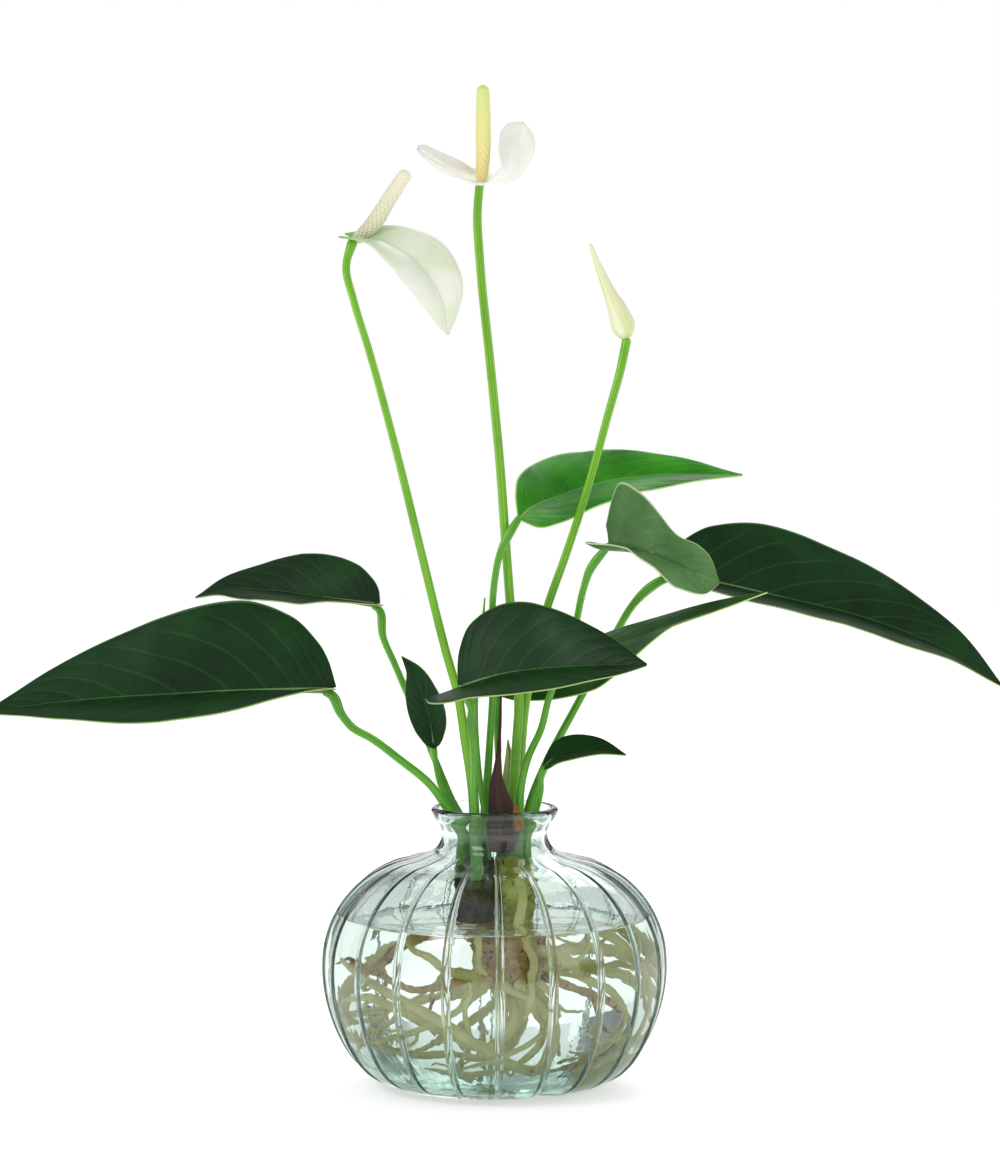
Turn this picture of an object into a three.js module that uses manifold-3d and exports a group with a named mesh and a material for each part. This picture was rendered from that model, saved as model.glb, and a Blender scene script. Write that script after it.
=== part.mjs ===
// An anthurium plant standing in water in a ribbed glass vase, with bare roots.
// Millimetres, +Z up, +Y away from the viewer. The origin is the middle of the vase's foot.
import * as THREE from "three";
import { mergeVertices } from "three/addons/utils/BufferGeometryUtils.js";
import Module from "manifold-3d";

const wasm = await Module();
wasm.setup();

// ---------------------------------------------------------------- driving dimensions
const GAP = 0.3; // between pieces that touch

const RIBS = 20;
const RIB_HEIGHT = 1; // how far a rib stands proud
const RIB_HALF_ANGLE = THREE.MathUtils.degToRad(1.3);
const RIB_TURN = THREE.MathUtils.degToRad(1.8); // the front rib is a little to the right
const RIB_TOP = 97; // the ribs fade out where the neck begins
const VASE_HEIGHT = 115.5;
const WATER_LEVEL = 70;

const CROWN_TOP = 92; // the stalks stand on the crown
const LEAF_THICKNESS = 0.8;
const SPATHE_THICKNESS = 0.9;
const SHEATH_THICKNESS = 0.7;

// ---------------------------------------------------------------- materials
const material = (color, roughness, extra = {}) =>
  new THREE.MeshStandardMaterial({ color, roughness, metalness: 0, ...extra });

const GLASS = material("#cfe3df", 0.05, { transparent: true, opacity: 0.35 });
const WATER = material("#dfeee8", 0.02, { transparent: true, opacity: 0.3 });
const DARK_LEAF = material("#26431f", 0.35, { side: THREE.DoubleSide });
const BRIGHT_LEAF = material("#3d8c1c", 0.4, { side: THREE.DoubleSide });
const GREY_LEAF = material("#5f7f58", 0.45, { side: THREE.DoubleSide });
const PETIOLE = material("#5b9a35", 0.4);
const FLOWER_STALK = material("#7ab240", 0.4);
const WHITE_SPATHE = material("#f0f2e6", 0.45, { side: THREE.DoubleSide });
const BUD = material("#e6eabf", 0.45);
const YELLOW_SPADIX = material("#dde28c", 0.6);
const CREAM_SPADIX = material("#ddd2c0", 0.6);
const BROWN_SHEATH = material("#4a2216", 0.7, { side: THREE.DoubleSide });
const PALE_SHEATH = material("#c5c98a", 0.6, { side: THREE.DoubleSide });
const OLD_CROWN = material("#2d2118", 0.9);
const GREEN_CROWN = material("#8f8f45", 0.8);
const CLUMP = material("#8a6a42", 0.9);
const ROOT = material("#b5ae72", 0.6);

// ---------------------------------------------------------------- helpers
const point = ([x, y, z]) => new THREE.Vector3(x, y, z);
const lineThrough = (points) => new THREE.CatmullRomCurve3(points.map(point));

// A smooth value between keys [[position, value], ...], with the slope taken from the neighbours.
function valueAt(keys, t) {
  let i = 0;
  while (i < keys.length - 2 && t > keys[i + 1][0]) i++;
  const slope = (k) => {
    const low = keys[Math.max(k - 1, 0)];
    const high = keys[Math.min(k + 1, keys.length - 1)];
    return (high[1] - low[1]) / (high[0] - low[0]);
  };
  const [start, from] = keys[i];
  const [end, to] = keys[i + 1];
  const span = end - start;
  const u = THREE.MathUtils.clamp((t - start) / span, 0, 1);
  const rise = from + (to - from) * u * u * (3 - 2 * u);
  const bend = span * u * (1 - u) * (slope(i) * (1 - u) - slope(i + 1) * u);
  return Math.max(rise + bend, 0.01);
}

// Keeps only the positions and welds them, which is what a closed solid needs.
function weld(geometry) {
  const bare = new THREE.BufferGeometry();
  bare.setAttribute("position", geometry.getAttribute("position"));
  bare.setIndex(geometry.index);
  return mergeVertices(bare, 1e-3);
}

function solidOf(geometry) {
  const welded = weld(geometry);
  return new wasm.Manifold(
    new wasm.Mesh({
      numProp: 3,
      vertProperties: welded.attributes.position.array,
      triVerts: new Uint32Array(welded.index.array),
    }),
  );
}

function geometryOf(solid) {
  const mesh = solid.getMesh();
  const geometry = new THREE.BufferGeometry();
  geometry.setAttribute("position", new THREE.BufferAttribute(mesh.vertProperties, 3));
  geometry.setIndex(new THREE.BufferAttribute(mesh.triVerts, 1));
  return geometry;
}

// Takes the tools away from a body, and keeps the largest piece of what is left.
function cut(body, tools) {
  const left = tools.reduce((solid, tool) => solid.subtract(solidOf(tool)), solidOf(body));
  const pieces = left.decompose().sort((a, b) => b.volume() - a.volume());
  return geometryOf(pieces[0]);
}

// Moves each vertex of a geometry to where `place` puts it.
function reshape(geometry, place) {
  const position = geometry.getAttribute("position");
  const vertex = new THREE.Vector3();
  for (let i = 0; i < position.count; i++) {
    vertex.fromBufferAttribute(position, i);
    const moved = place(vertex);
    position.setXYZ(i, moved.x, moved.y, moved.z);
  }
  return geometry;
}

// A round stalk: a cylinder bent along a smooth line, with the radius given by keys along it.
// `grow` makes it fatter and longer all round, for the hollow that something leaves in its neighbour.
function stalk(points, radii, { sides = 8, rings = 10, grow = 0 } = {}) {
  const line = lineThrough(points);
  const frames = line.computeFrenetFrames(rings, false);
  const rod = new THREE.CylinderGeometry(1, 1, rings, sides, rings);
  return weld(
    reshape(rod, (v) => {
      const ring = Math.round(v.y + rings / 2);
      const t = ring / rings;
      const radius = valueAt(radii, t) + grow;
      const across = frames.normals[ring].clone().multiplyScalar(v.x * radius);
      const along = frames.binormals[ring].clone().multiplyScalar(-v.z * radius);
      const outward = ring === 0 ? -grow : ring === rings ? grow : 0;
      const centre = line.getPointAt(t).addScaledVector(frames.tangents[ring], outward);
      return centre.add(across).add(along);
    }),
  );
}

// A blade: a thin plate bent over a midrib, with a near half and a far half that each lean their way.
// `shape` gives the half width along it as a share of `width`, `nearShape` that of the near half where
// it differs, and `lobes` draws the base corners of the near and far halves back, past the stalk.
function blade({ midrib, width, near, far, thickness, ...rest }) {
  const { shape, nearShape = shape, lobes = [0, 0], steps = 10, across = 4 } = rest;
  const line = lineThrough(midrib);
  const lean = (keys, t, tangent) => {
    const place = t * (keys.length - 1);
    const i = Math.min(Math.floor(place), keys.length - 2);
    const way = point(keys[i]).lerp(point(keys[i + 1]), place - i);
    return way.addScaledVector(tangent, -way.dot(tangent)).normalize();
  };
  const crease = 0.12; // how softly the two halves meet
  const surface = (t, s) => {
    const clamped = THREE.MathUtils.clamp(t, 0, 1);
    const tangent = line.getTangentAt(clamped);
    const ridge = Math.sqrt(s * s + crease * crease) - crease;
    const farReach = (width * valueAt(shape, clamped) * (ridge + s)) / 2;
    const nearReach = (width * valueAt(nearShape, clamped) * (ridge - s)) / 2;
    const lobe = lobes[s < 0 ? 0 : 1] * Math.abs(s) ** 1.5 * (1 - clamped) ** 4;
    const place = line.getPointAt(clamped);
    place.addScaledVector(lean(far, clamped, tangent), farReach);
    place.addScaledVector(lean(near, clamped, tangent), nearReach);
    return place.addScaledVector(tangent, -lobe);
  };
  const step = 0.01;
  const plate = new THREE.BoxGeometry(1, 2, 1, steps, across, 1);
  return weld(
    reshape(plate, (v) => {
      const t = v.x + 0.5;
      const along = surface(Math.min(t + step, 1), v.y).sub(surface(Math.max(t - step, 0), v.y));
      const over = surface(t, v.y + step).sub(surface(t, v.y - step));
      const normal = along.cross(over).normalize();
      return surface(t, v.y).addScaledVector(normal, v.z * thickness);
    }),
  );
}

const group = new THREE.Group();

function add(name, geometry, finish) {
  const mesh = new THREE.Mesh(geometry, finish);
  mesh.name = name;
  group.add(mesh);
}

// ---------------------------------------------------------------- vase and water
// Radius and height up the outside, from the foot to the lip.
const OUTSIDE = [
  [33, 0],
  [43, 1.5],
  [51, 5.2],
  [57, 10.5],
  [62, 18],
  [66, 27],
  [69, 38],
  [70, 48],
  [69, 60],
  [66, 69],
  [61, 77.5],
  [53, 85.7],
  [41.8, 92],
  [29.7, 95.5],
  [24, 98.6],
  [22.3, 102],
  [22.5, 107.5],
  [23.6, 109.5],
  [25.2, 112],
  [26.2, 114],
  [25.2, VASE_HEIGHT],
];
// Radius and height up the inside, from the thick floor to the mouth.
const INSIDE = [
  [30, 9],
  [45, 12.5],
  [55, 19.5],
  [61.5, 29],
  [65.5, 39],
  [66.8, 48],
  [65.8, 59],
  [62.2, 69],
  [57.5, 75.8],
  [50, 83],
  [40, 88.8],
  [28.5, 92.2],
  [21.5, 96],
  [19.4, 101],
  [19.4, 107],
  [21, 111.5],
  [23.4, VASE_HEIGHT],
];
const onAxis = (outline, low, high) => [[0, low], ...outline, [0, high]];
const turned = (outline, segments) =>
  weld(
    new THREE.LatheGeometry(
      outline.map(([r, z]) => new THREE.Vector2(r, z)),
      segments,
    ).rotateX(Math.PI / 2),
  );

// The ribs are pressed out of the turned outside: each has an edge, a crest and an edge.
const RIB_STEPS = 4;
const ribPitch = (2 * Math.PI) / RIBS;
const ribOffsets = [-RIB_HALF_ANGLE, 0, RIB_HALF_ANGLE, ribPitch / 2];
function ribbed(outline) {
  const plain = turned(outline, RIBS * RIB_STEPS);
  return reshape(plain, (v) => {
    const radius = Math.hypot(v.x, v.y);
    if (radius < 1) return v.clone();
    const turn = Math.atan2(v.x, -v.y) + 2 * Math.PI;
    const step = Math.round(turn / (ribPitch / RIB_STEPS));
    const within = step % RIB_STEPS;
    const angle = Math.floor(step / RIB_STEPS) * ribPitch + ribOffsets[within] + RIB_TURN;
    const fade = THREE.MathUtils.smoothstep(RIB_TOP - v.z, 0, 4);
    const onFoot = v.z < 0.1 ? 0 : 1;
    const crest = within === 1 ? RIB_HEIGHT * fade * onFoot : 0;
    return new THREE.Vector3(
      (radius + crest) * Math.sin(angle),
      -(radius + crest) * Math.cos(angle),
      v.z,
    );
  });
}
const aboveMouth = 5;
const mouth = [...INSIDE, [26.5, VASE_HEIGHT + aboveMouth]];
add(
  "vase",
  cut(ribbed(onAxis(OUTSIDE, 0, VASE_HEIGHT)), [
    turned(onAxis(mouth, INSIDE[0][1], VASE_HEIGHT + aboveMouth), 40),
  ]),
  GLASS,
);

// ---------------------------------------------------------------- crown and roots
// A knob of rootstock: a turned shape made oval, with a few swellings.
function knob({ at: [x, y], outline, oval, swell, phase, grow = 0 }) {
  const fat = outline.map(([r, z], i) => [r + grow, z + (i === outline.length - 1 ? grow : 0)]);
  fat[0][1] -= grow;
  return reshape(turned(onAxis(fat, fat[0][1], fat.at(-1)[1]), 12), (v) => {
    const turn = Math.atan2(v.x, -v.y);
    const bulge = 1 + swell * Math.sin(3 * turn + phase + v.z * 0.25);
    return new THREE.Vector3(x + v.x * bulge, y + v.y * bulge * oval, v.z);
  });
}
const KNOBS = {
  crown_old: {
    at: [-8.2, -1.6],
    outline: [[3.5, 64.5], [6, 68], [7.2, 76], [7.4, 85], [7.4, 90.5], [6.6, CROWN_TOP]],
    oval: 1.25,
    swell: 0.05,
    phase: 0.4,
  },
  crown_green: {
    at: [8.6, -1.6],
    outline: [[3.5, 64.2], [6.4, 69], [7.6, 77], [7.4, 85], [7.6, 90.5], [6.8, CROWN_TOP]],
    oval: 1.22,
    swell: 0.05,
    phase: 2.1,
  },
  root_clump: {
    at: [5, 0],
    outline: [[3, 41], [8, 43.5], [11.5, 49], [12.2, 55], [9.5, 60.5], [4, 63.8]],
    oval: 0.85,
    swell: 0.07,
    phase: 1.2,
  },
};
const knobFinish = { crown_old: OLD_CROWN, crown_green: GREEN_CROWN, root_clump: CLUMP };
for (const [name, knobShape] of Object.entries(KNOBS)) {
  add(name, knob(knobShape), knobFinish[name]);
}
const clearOfKnobs = Object.values(KNOBS).map((shape) => knob({ ...shape, grow: GAP }));

// Each root's route, from inside the clump to its tip, and its thickness.
const ROOTS = [
  { r: 1.9, via: [[6, -5, 46], [20, -20, 29], [15, -27, 16], [-5, -30, 25], [-20, -30, 35], [-36, -28, 43], [-48, -24, 49], [-56, -14, 54]] },
  { r: 1.6, via: [[3, -2, 45], [6, -10, 31], [-3, -14, 24], [-16, -14, 29], [-31, -13, 36], [-41, -9, 40], [-50, -2, 38]] },
  { r: 1.5, via: [[0, 1, 55], [-18, 5, 56], [-28, 6, 53], [-38, 6, 47], [-46, 2, 50]] },
  { r: 1.3, via: [[6, 3, 46], [8, 12, 30], [0, 15, 19], [-13, 14, 20], [-25, 12, 20], [-36, 8, 25]] },
  { r: 1.2, via: [[0, -2, 49], [-17, -8, 44], [-26, -9, 43], [-34, -8, 46], [-42, -13, 51]] },
  { r: 1.1, via: [[12, -1, 46], [15, -11, 26], [4, -20, 16], [-11, -22, 14], [-24, -20, 16]] },
  { r: 1.5, via: [[10, -3, 54], [24, -16, 53], [32, -27, 49], [43, -30, 44], [48, -28, 35], [43, -28, 26], [34, -26, 20]] },
  { r: 1.5, via: [[10, 0, 57], [32, -4, 60], [46, -8, 54], [55, -10, 42], [52, -12, 28], [40, -16, 19], [26, -18, 14]] },
  { r: 1.4, via: [[10, 3, 50], [30, 6, 52], [44, 4, 50], [56, 2, 42], [57, 4, 33], [50, 6, 22], [38, 4, 16], [24, 0, 13]] },
  { r: 1.3, via: [[9, 4, 47], [26, 16, 46], [38, 22, 42], [46, 24, 34], [44, 24, 25], [34, 20, 18], [20, 16, 14]] },
  { r: 1.2, via: [[7, 4, 54], [20, 22, 56], [30, 34, 52], [38, 40, 42], [38, 38, 31], [30, 32, 22], [16, 28, 16]] },
  { r: 1.2, via: [[10, -1, 48], [28, -6, 42], [38, -6, 38], [44, -4, 30], [38, -6, 23], [26, -8, 17], [14, -10, 13]] },
  { r: 1.3, via: [[1, 3, 50], [-10, 22, 52], [-22, 32, 48], [-34, 38, 40], [-36, 34, 28], [-26, 26, 19]] },
  { r: 1.2, via: [[4, 3, 48], [4, 22, 40], [-2, 34, 32], [-12, 40, 24], [-20, 38, 19]] },
  { r: 1.1, via: [[1, -3, 48], [-14, -20, 36], [-26, -20, 30], [-38, -18, 26], [-44, -8, 24]] },
  { r: 1.1, via: [[0, 2, 47], [-16, 16, 38], [-30, 20, 34], [-44, 18, 32], [-54, 12, 36]] },
  { r: 1.1, via: [[8, -4, 49], [20, -24, 42], [22, -36, 36], [14, -44, 28], [0, -44, 21], [-12, -40, 17]] },
];
const ROOT_TAPER = [[0, 0.9], [0.15, 1], [0.6, 0.9], [0.9, 0.7], [1, 0.3]];
function rootStalk({ r, via }, grow = 0) {
  const radii = ROOT_TAPER.map(([t, share]) => [t, share * r]);
  return stalk(via, radii, { sides: 6, rings: 11, grow });
}
ROOTS.forEach((root, i) => {
  add(`root_${String(i + 1).padStart(2, "0")}`, cut(rootStalk(root), clearOfKnobs), ROOT);
});

// The water fills the vase round the roots.
const WIDEST = 48; // the height at which the inside is widest
const waterLine = INSIDE.filter(([, z]) => z < WATER_LEVEL).map(([r, z]) => [
  r - GAP,
  z < WIDEST ? z + GAP : z - GAP,
]);
const waterTop = waterLine.at(-1)[0] - 0.5;
const waterOutline = onAxis([...waterLine, [waterTop, WATER_LEVEL]], INSIDE[0][1] + GAP, WATER_LEVEL);
add(
  "water",
  cut(turned(waterOutline, 40), [...ROOTS.map((root) => rootStalk(root, GAP)), ...clearOfKnobs]),
  WATER,
);

// ---------------------------------------------------------------- leaves
const BROAD = [[0, 0.15], [0.05, 0.5], [0.12, 0.82], [0.26, 1], [0.5, 0.82], [0.8, 0.4], [1, 0.02]];
const SLIM = [[0, 0.12], [0.08, 0.55], [0.2, 0.88], [0.4, 1], [0.65, 0.75], [0.88, 0.28], [1, 0.02]];
const WIDE_BASE = [[0, 0.45], [0.1, 0.8], [0.26, 1], [0.5, 0.82], [0.8, 0.4], [1, 0.02]];
const LEAVES = [
  {
    finish: DARK_LEAF,
    width: 40,
    shape: BROAD,
    lobes: [5, 3],
    midrib: [[-67.5, -10, 164.5], [-100, -12, 164.5], [-132, -14, 163], [-160, -16, 161.5], [-186, -18, 159], [-207, -19, 156]],
    near: [[0, -0.98, 0.16], [0, -0.97, -0.2], [0, -0.9, -0.35]],
    far: [[0, 0.33, 0.94], [0, 0.33, 0.94], [0, 0.7, 0.7]],
    petiole: [[-13, -4, CROWN_TOP], [-13, -4, 106], [-19, -6, 115], [-26, -8, 125], [-39, -9, 136], [-51, -10, 145], [-58, -10, 149], [-62.5, -10, 154.5], [-66.8, -10, 162.6]],
    stalkRadius: 1.9,
  },
  {
    finish: DARK_LEAF,
    width: 20,
    shape: SLIM,
    nearShape: WIDE_BASE,
    lobes: [6, 2],
    midrib: [[-49, 9, 198], [-72, 22, 200], [-97, 34, 202], [-114, 40, 201.5], [-125, 42, 198]],
    near: [[0.1, -0.98, 0.05], [0, -0.97, -0.1], [0, -0.9, -0.35]],
    far: [[0.1, 0.5, 0.86], [0, 0.5, 0.86], [0, 0.8, 0.5]],
    petiole: [[-11, 5, CROWN_TOP], [-12, 5, 105], [-18, 6, 118], [-23, 7, 130], [-29, 8, 145], [-35, 8, 159], [-41, 9, 173], [-46, 9, 185], [-48, 9, 196.2]],
    stalkRadius: 1.6,
  },
  {
    finish: DARK_LEAF,
    width: 8.5,
    shape: SLIM,
    lobes: [2, 2],
    midrib: [[-25, 2, 141], [-27, 1, 153], [-30, -1, 163], [-33, -4, 172], [-38, -7, 178]],
    near: [[-0.9, -0.4, 0], [-0.9, -0.4, 0], [-0.9, -0.4, 0]],
    far: [[0.8, -0.5, 0], [0.8, -0.5, 0.2], [0.8, -0.5, 0.3]],
    petiole: [[-12.6, 1, CROWN_TOP], [-13.5, 1, 107], [-18, 2, 116], [-22, 2.5, 123], [-24, 3.2, 131], [-25, 3.6, 138.6]],
    stalkRadius: 1.3,
  },
  {
    finish: DARK_LEAF,
    width: 31,
    shape: BROAD,
    nearShape: WIDE_BASE,
    lobes: [15, 2],
    midrib: [[-13, -20, 167], [2, -24, 172], [18, -31, 175], [38, -39, 177], [61, -47, 178]],
    near: [[0.1, -0.98, 0.02], [0.1, -0.96, -0.18], [0.1, -0.9, -0.35]],
    far: [[0.1, 0.32, 0.94], [0.1, 0.32, 0.94], [0.1, 0.6, 0.75]],
    petiole: [[-7.5, -9.5, CROWN_TOP], [-8, -11, 107], [-8.5, -13, 123], [-9, -16, 143], [-10, -18.5, 152], [-9.5, -19.5, 158], [-12, -20, 165.2]],
    stalkRadius: 1.6,
  },
  {
    finish: BRIGHT_LEAF,
    width: 17,
    shape: SLIM,
    lobes: [4, 4],
    midrib: [[2, 15, 163], [12, 20, 166], [35, 23, 173], [52, 22, 180], [82, 15, 192], [112, 7, 203]],
    near: [[0, -0.5, -0.86], [0, -0.65, -0.75], [0, -0.97, 0.05], [0, -0.97, 0]],
    far: [[0, 0.95, 0.3], [0, 0.95, 0.3], [0, 0.9, 0.4]],
    petiole: [[3, 8.5, CROWN_TOP], [3, 11, 106], [2, 13, 125], [1, 14.5, 142], [1, 16, 154], [1.5, 16.8, 161]],
    stalkRadius: 1.5,
  },
  {
    finish: BRIGHT_LEAF,
    width: 21,
    shape: [[0, 0.3], [0.1, 0.6], [0.25, 0.8], [0.5, 1], [0.75, 0.6], [1, 0.02]],
    lobes: [1, 1],
    midrib: [[10, 1, 234], [14, 12, 237], [23, 26, 240], [36, 38, 244], [50, 46, 247], [73, 52, 249], [104, 56, 248.5]],
    near: [[0.3, -0.7, -0.5], [0.2, -0.95, -0.2], [0, -0.95, -0.25]],
    far: [[-0.1, 0.2, 0.95], [-0.2, 0.75, 0.6], [0, 0.8, 0.55]],
    petiole: [[-4, 4, CROWN_TOP], [-4, 5, 110], [-3, 5, 126], [-2, 3, 142], [-1, 0, 159], [-1, -2, 180], [-1, -4, 197], [0, -4, 209], [2, -4, 219], [5, -3, 226], [9, 0, 232.5]],
    stalkRadius: 1.6,
  },
  {
    finish: GREY_LEAF,
    width: 27,
    shape: [[0, 0.6], [0.12, 0.95], [0.28, 0.95], [0.5, 0.45], [0.7, 0.42], [0.88, 0.25], [1, 0.02]],
    lobes: [2, 2],
    midrib: [[46, -12, 224], [56, -17, 223], [67, -22, 220], [76, -24, 216], [84, -23, 212], [91, -20, 209]],
    near: [[0.1, -0.98, 0.15], [0, -0.7, -0.6], [-0.2, -0.4, -0.9]],
    far: [[-0.1, 0.1, 1], [0, 0.2, 1], [0.3, 0.3, 0.9]],
    petiole: [[10, -4, CROWN_TOP], [10, -4, 106], [11, -5, 125], [14, -6, 137], [19, -6, 148], [22, -7, 160], [27, -8, 174], [33, -9, 191], [36, -10, 205], [39, -11, 214], [44.5, -12, 221.5]],
    stalkRadius: 1.6,
  },
  {
    finish: DARK_LEAF,
    width: 31,
    shape: BROAD,
    lobes: [3, 3],
    midrib: [[72, 45, 207], [93, 46, 204], [111, 47, 200], [128, 47, 196], [149, 47, 191], [170, 46, 184], [191, 44, 175], [212, 41, 161]],
    near: [[0.1, -0.98, 0], [0, -0.97, -0.08], [0, -0.9, -0.4]],
    far: [[0.1, 0.35, 0.94], [0.1, 0.35, 0.94], [0.3, 0.6, 0.75]],
    petiole: [[13, 4, CROWN_TOP], [13, 5, 105], [16, 9, 119], [21, 14, 131], [27, 21, 142], [35.5, 31, 156.5], [44, 39, 171.5], [51.5, 44, 184.5], [58, 45, 195], [65, 45, 202], [70.5, 45, 205.3]],
    stalkRadius: 1.8,
  },
  {
    finish: DARK_LEAF,
    width: 7.5,
    shape: SLIM,
    lobes: [1, 1],
    midrib: [[20.5, -10, 133], [25, -13, 137.5], [35, -17, 140.5], [44, -20, 141], [53.5, -22, 139]],
    near: [[0.1, -0.95, -0.3], [0, -0.95, -0.3], [0, -0.9, -0.4]],
    far: [[0, 0.5, 0.86], [0, 0.5, 0.86], [0, 0.6, 0.8]],
    petiole: [[13.5, -5, CROWN_TOP], [14, -5, 106], [17, -7, 114], [19, -9, 123], [19.6, -10, 130.8]],
    stalkRadius: 1.3,
  },
];
// A leaf stalk thickens at its foot and again at the knee under the blade.
const PETIOLE_SHAPE = [[0, 1.15], [0.2, 1], [0.85, 0.9], [0.93, 1.1], [1, 0.95]];
LEAVES.forEach(({ finish, petiole, stalkRadius, ...shape }, i) => {
  add(`leaf_${i + 1}`, blade({ ...shape, thickness: LEAF_THICKNESS }), finish);
  const radii = PETIOLE_SHAPE.map(([t, share]) => [t, share * stalkRadius]);
  const sides = 8;
  add(`petiole_${i + 1}`, cut(stalk(petiole, radii, { sides, rings: 12 }), clearOfKnobs), PETIOLE);
});

// ---------------------------------------------------------------- flowers
const FLOWER_STEMS = [
  {
    via: [[-8, -4, CROWN_TOP], [-8, -4, 106], [-9, -4, 123], [-12, -5, 143], [-15, -5, 162], [-20, -5, 180], [-30, -6, 221], [-40, -8, 262], [-51, -10, 303], [-57, -12, 323], [-60, -12, 337], [-58.5, -12, 345.5]],
    radii: [[0, 2.2], [0.25, 1.9], [0.7, 1.6], [1, 1.5]],
  },
  {
    via: [[5, 0, CROWN_TOP], [5, 0, 106], [8, 1, 126], [9, 2, 141], [10, 2, 159], [8, 2, 180], [5, 2, 217], [2, 3, 258], [-2, 3, 299], [-6, 3, 339], [-7, 2, 358], [-6, 1, 369.6]],
    radii: [[0, 2.2], [0.4, 1.9], [0.8, 1.8], [1, 1.7]],
  },
  {
    via: [[8, 5, CROWN_TOP], [8, 5, 105], [10, 6, 126], [13, 6, 159], [17, 6, 179], [21, 6, 195], [29, 6, 218], [39, 5, 249], [47, 8, 278], [51, 11, 292], [54.4, 14, 305.7]],
    radii: [[0, 2], [0.4, 1.8], [0.8, 1.6], [1, 1.9]],
  },
];
FLOWER_STEMS.forEach(({ via, radii }, i) => {
  const stem = stalk(via, radii, { sides: 8, rings: 16 });
  add(`flower_stem_${i + 1}`, cut(stem, clearOfKnobs), FLOWER_STALK);
});

add(
  "spathe_1",
  blade({
    midrib: [[-58, -12, 347.3], [-44, -15, 346], [-31, -19, 338.5], [-22, -21, 326], [-19, -18, 309.5]],
    width: 15,
    shape: [[0, 0.35], [0.15, 0.7], [0.4, 1], [0.7, 0.8], [0.9, 0.35], [1, 0.03]],
    lobes: [4, 4],
    near: [[0, -0.95, 0.2], [-0.4, -0.75, -0.4], [-0.8, -0.5, -0.4]],
    far: [[0, 0.85, 0.5], [0.6, 0.5, 0.5], [0.8, 0.5, 0.3]],
    thickness: SPATHE_THICKNESS,
    across: 6,
  }),
  WHITE_SPATHE,
);
add(
  "spathe_2",
  blade({
    midrib: [[11.5, 11, 395], [8, 7, 382.5], [3, 3.5, 373.5], [-6, 1, 371], [-14, -4, 373.5], [-23, -9, 378.6], [-31, -14, 384]],
    width: 11,
    shape: [[0, 0.5], [0.12, 0.85], [0.3, 1], [0.5, 0.85], [0.75, 0.75], [0.9, 0.45], [1, 0.03]],
    near: [[-0.8, -0.4, 0.2], [0, -0.95, 0.15], [0, -0.9, -0.4]],
    far: [[0.75, 0.6, 0], [0.1, 0.85, 0.5], [0.1, 0.8, 0.6]],
    thickness: SPATHE_THICKNESS,
    across: 6,
  }),
  WHITE_SPATHE,
);
add(
  "spathe_bud",
  stalk(
    [[54.3, 14, 307.2], [51, 14, 317], [46, 13, 328], [42, 12, 338], [39, 11, 346]],
    [[0, 3], [0.12, 5], [0.3, 4], [0.5, 2.6], [0.75, 1.5], [1, 0.5]],
    { sides: 10, rings: 12 },
  ),
  BUD,
);
add(
  "spadix_1",
  stalk(
    [[-50, -11, 353], [-42, -12, 365], [-35, -13, 375.5]],
    [[0, 2.6], [0.12, 3.6], [0.5, 3], [0.9, 2.3], [1, 1.2]],
    { sides: 10, rings: 8 },
  ),
  CREAM_SPADIX,
);
add(
  "spadix_2",
  stalk(
    [[-5, 2, 375], [-4.6, 2.4, 392], [-4.8, 3, 410.5]],
    [[0, 2.2], [0.12, 2.6], [0.5, 3], [0.9, 2.2], [1, 1.1]],
    { sides: 10, rings: 10 },
  ),
  YELLOW_SPADIX,
);

// ---------------------------------------------------------------- sheaths
add(
  "cataphyll_brown",
  blade({
    midrib: [[3, -12.5, 96], [3, -13.5, 113], [1, -13, 126], [2, -12, 143], [2.5, -11, 162]],
    width: 7.5,
    shape: [[0, 0.85], [0.3, 1], [0.5, 0.75], [0.7, 0.3], [0.85, 0.12], [1, 0.06]],
    near: [[-0.8, 0.6, 0], [-0.8, 0.6, 0]],
    far: [[0.8, 0.6, 0], [0.8, 0.6, 0]],
    thickness: SHEATH_THICKNESS,
  }),
  BROWN_SHEATH,
);
add(
  "cataphyll_scrap",
  blade({
    midrib: [[9.5, -14, 108], [9, -14.5, 113], [8.5, -14.5, 118]],
    width: 1.8,
    shape: [[0, 0.8], [0.5, 1], [1, 0.2]],
    near: [[-0.9, -0.2, 0], [-0.9, -0.2, 0]],
    far: [[0.9, 0.3, 0], [0.9, 0.3, 0]],
    thickness: SHEATH_THICKNESS,
    steps: 4,
  }),
  BROWN_SHEATH,
);
add(
  "sheath_pale",
  blade({
    midrib: [[4, 15.5, 97], [5, 16.5, 114], [6, 18, 131], [5.5, 18.5, 141]],
    width: 4,
    shape: [[0, 0.8], [0.4, 1], [0.8, 0.5], [1, 0.05]],
    near: [[-0.85, -0.5, 0], [-0.85, -0.5, 0]],
    far: [[0.85, -0.5, 0], [0.85, -0.5, 0]],
    thickness: SHEATH_THICKNESS,
    steps: 6,
  }),
  PALE_SHEATH,
);
add(
  "leaf_spear",
  cut(
    stalk(
      [[-2.5, -4.5, CROWN_TOP], [-3, -4.5, 106], [-6, -5, 125], [-7.5, -5.5, 142], [-8, -6.5, 158], [-6, -7, 180], [-4, -8, 202]],
      [[0, 1.2], [0.4, 1.3], [0.8, 1], [1, 0.3]],
      { sides: 8, rings: 10 },
    ),
    clearOfKnobs,
  ),
  PALE_SHEATH,
);

export default group;
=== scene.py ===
# %% [markdown]
# # An anthurium in a ribbed glass vase
# A white anthurium, washed free of soil, stands with bare roots in water in a squat bottle of
# recycled glass. The measured model of it is loaded first, as a fixed frame. Every piece made here
# stands for one of its parts and lies where that part lies, so this lesson works in the same
# millimetres: the origin is the middle of the vase's foot, +X is right, +Y is away and +Z is up.

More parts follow.
